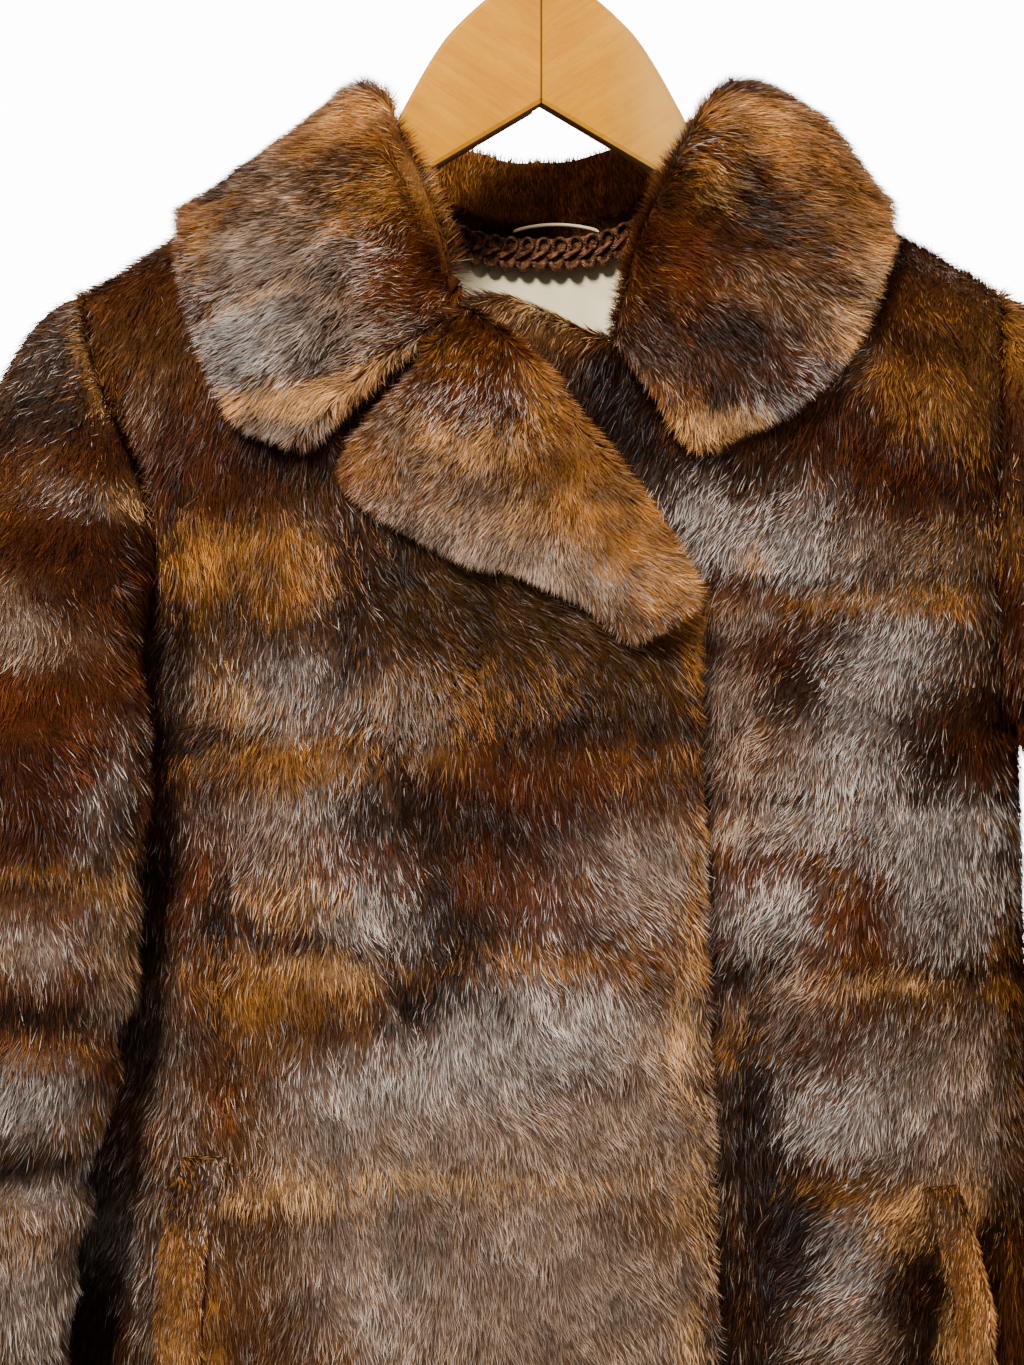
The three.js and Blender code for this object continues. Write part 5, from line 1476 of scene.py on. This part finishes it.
class COAT_OT_pocket_edges(bpy.types.Operator):
    """Make the fur-faced edges of the slit pockets"""

    bl_idname = "coat.pocket_edges"
    bl_label = "Pocket Edges"

    def execute(self, context):
        # name, side, panel, degrees that the hair lies off straight down
        for name, side, panel, slant in (
            ("pocket_edge_right", -1, "front_right", 6), ("pocket_edge_left", 1, "front_left", -22),
        ):
            pocket = POCKETS[side]
            along, across = POCKET_GRID
            share = np.linspace(0, 1, across + 1)
            z = np.linspace(pocket[-1, 0], pocket[0, 0], along + 1)[:, None] + 0 * share
            x = side * np.interp(z, pocket[:, 0], pocket[:, 1]) - side * POCKET_EDGE_WIDTH * share
            outer, inner = over(panel, x, z, 3 + 3 * (1 - share)), over(panel, x, z, 1.5)
            flow = laid_at(np.full(z.shape, float(slant)))
            spread, lean = (0.0, 1.6), 0.15
            rims = (("left", 1500, spread, lean), ("top", 300, spread, lean), ("foot", 300, spread, lean))
            hide, fur = grow(
                name, (outer, inner), Face(outer, grid_normals(outer, FORWARD), flow), POCKET_PATCHES, None,
                draws(503 + side), 3400, (0.62, -0.03, 1, 1), rims, (0.5, 0, 1, 1), 4.0,
            )
        return {"FINISHED"}


LINING_LIFT = -8.6
# Soft creases of the lining: across, height, half length, half width, turn, rise
LINING_CREASES = [
    (9, -212, 30, 2.8, 90, 2.2), (26, -202, 13, 2.6, -47, 2.4), (38, -222, 15, 2.8, -58, -2.0),
    (-30, -232, 40, 6, 70, -1.2), (44, -250, 50, 7, 100, -1.2), (-80, -420, 160, 11, 86, -2.5),
    (20, -520, 200, 13, 92, -2.5), (110, -600, 180, 12, 95, -2.2), (-150, -780, 160, 12, 84, -2.4),
    (-10, -880, 140, 12, 88, -2.2), (170, -860, 130, 12, 98, -2.4),
]


class COAT_OT_lining(bpy.types.Operator):
    """Make the satin lining of the back"""

    bl_idname = "coat.lining"
    bl_label = "Lining"

    def execute(self, context):
        sizes, colours = settings()
        hem, below_neck, inside_armhole, inside_seam = HEM_Z + 25, 10.4, 8.0, 1 / 22
        angle, z = panel_places("back", *LINING_GRID, hem, below_neck, inside_armhole, inside_seam)
        middle = bare_body("back", angle, z)
        rise = creased(np.zeros(z.shape), LINING_CREASES, middle[..., 0], z) + 0.35 * noise(middle, 22, 91)
        outer = panel_point("back", angle, z, LINING_LIFT + rise, False)
        inner = panel_point("back", angle, z, LINING_LIFT - sizes.lining_thickness / MM + rise, False)
        mesh = wall_mesh("lining_back", outer, inner)
        lining = add_piece("lining_back_satin", mesh, [shared("lining_satin", satin, colours)] * 2)
        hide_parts("lining_back")
        return {"FINISHED"}


BRAID_REACH, BRAID_DROP, BRAID_LIFT = 62.0, 2.5, -14.7
LOOP_ENDS, LOOP_Y, LOOP_Z, LOOP_BOW, LOOP_RADIUS = (-13, 29), 50, -171.5, 3.5, 0.8


def on_neck(along, down, out):
    """Points over the neck braid: along it, down from its top, and out towards the neck."""
    along, down, out = np.broadcast_arrays(along, down, out)
    return over("back", along, neck_line(along) - BRAID_DROP - down, BRAID_LIFT - out)


class COAT_OT_braid(bpy.types.Operator):
    """Make the gimp braid and the hanging loop at the neck"""

    bl_idname = "coat.braid"
    bl_label = "Neck Braid and Loop"

    def execute(self, context):
        sizes, colours = settings()
        cord = shared("braid_cord", gimp, colours)
        pitch = sizes.braid_pitch / MM
        # A tape behind the cords, in a grid of points along and down it
        rows, columns = BRAID_GRID[0] + 1, BRAID_GRID[1] + 1
        along, down = np.linspace(-BRAID_REACH, BRAID_REACH, rows)[:, None], np.linspace(1.6, 17.5, columns)
        points = np.concatenate([on_neck(along, down, out).reshape(-1, 3) for out in (1.3, 0.3)])
        faces, _ = wall_faces(rows, columns, False)
        if volume_of(points, faces) < 0:
            faces = faces[:, ::-1]
        parts = [(points, faces)]
        count = int(2 * (BRAID_REACH - 3) / pitch)
        lobe_turn = np.linspace(math.radians(205), math.radians(-25), 15)
        curl_turn = np.linspace(math.radians(-60), math.radians(230), 17)
        along = np.linspace(0, 1, 9)
        arch = np.sin(np.pi * along)
        for step in range(count + 1):
            middle = (step - count / 2) * pitch
            # A fat lobe below, a loose ring above that lies over its neighbour, and two cords across
            for across, down, out, radius, sides in (
                (2.6 * np.cos(lobe_turn), 15.4 + 2.9 * np.sin(lobe_turn), 1.9, 1.45, 8),
                (1.8 + 3.0 * np.cos(curl_turn), 5.0 - 3.6 * np.sin(curl_turn),
                 1.8 + 0.9 * np.sin(curl_turn / 2), 0.9, 7),
                (pitch * (1.1 * along - 0.55), 12.8 - 4.6 * smooth(along), 1.6 + 1.2 * arch, 1.05, 7),
                (pitch * (0.5 - 1.1 * along), 8.0 + 3.6 * along, 1.5 + 0.8 * arch, 0.85, 6),
            ):
                parts.append(tube(on_neck(middle + across, down, out), radius, sides))
        points, faces = joined(parts)
        braid = add_piece("neck_braid_gimp", tidy_mesh("neck_braid", points, faces), [cord])
        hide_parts("neck_braid")
        share = np.linspace(0, 1, 31)
        start, end = LOOP_ENDS
        bow = LOOP_BOW * np.sin(np.pi * share) ** 0.7
        path = np.stack([start + (end - start) * share, LOOP_Y + 0 * share, LOOP_Z + bow], axis=-1)
        points, faces = tube(path, LOOP_RADIUS, 8)
        loop = add_piece("neck_loop_cord", tidy_mesh("neck_loop", points, faces),
                         [shared("lining_satin", satin, colours)])
        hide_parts("neck_loop")
        return {"FINISHED"}


class COAT_OT_hanger(bpy.types.Operator):
    """Finish the wooden hanger and its steel hook"""

    bl_idname = "coat.hanger"
    bl_label = "Hanger"

    def execute(self, context):
        _, colours = settings()
        for name, material in (
            ("hanger_arm_right", wood("hanger_wood_right", -1, colours)),
            ("hanger_arm_left", wood("hanger_wood_left", 1, colours)),
            ("hanger_hook", steel(colours)),
        ):
            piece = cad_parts[name]
            piece.data.materials.clear()
            piece.data.materials.append(material)
        return {"FINISHED"}


class COAT_PT_panel(bpy.types.Panel):
    """Sizes, colours and pieces of the coat"""

    bl_label = "Fur Coat"
    bl_idname = "COAT_PT_panel"
    bl_space_type = "VIEW_3D"
    bl_region_type = "UI"
    bl_category = "Fur Coat"

    def draw(self, context):
        for title, group in (("Sizes", context.scene.coat_sizes), ("Colours", context.scene.coat_colours)):
            box = self.layout.box()
            box.label(text=title)
            for name in group.__annotations__:
                box.prop(group, name)
        for operator in OPERATORS:
            self.layout.operator(operator.bl_idname)


OPERATORS = (
    COAT_OT_stage, COAT_OT_fronts, COAT_OT_back, COAT_OT_sleeves, COAT_OT_collar, COAT_OT_revers,
    COAT_OT_pocket_edges, COAT_OT_lining, COAT_OT_braid, COAT_OT_hanger,
)
CLASSES = (CoatSizes, CoatColours, *OPERATORS, COAT_PT_panel)


def register():
    for entry in CLASSES:
        bpy.utils.register_class(entry)
    bpy.types.Scene.coat_sizes = PointerProperty(type=CoatSizes)
    bpy.types.Scene.coat_colours = PointerProperty(type=CoatColours)


def unregister():
    del bpy.types.Scene.coat_colours
    del bpy.types.Scene.coat_sizes
    for entry in reversed(CLASSES):
        bpy.utils.unregister_class(entry)


def main():
    register()
    bpy.ops.coat.stage()
    bpy.ops.coat.fronts()
    bpy.ops.coat.back()
    bpy.ops.coat.sleeves()
    bpy.ops.coat.collar()
    bpy.ops.coat.revers()
    bpy.ops.coat.pocket_edges()
    bpy.ops.coat.lining()
    bpy.ops.coat.braid()
    bpy.ops.coat.hanger()


if __name__ == "__main__":
    main()
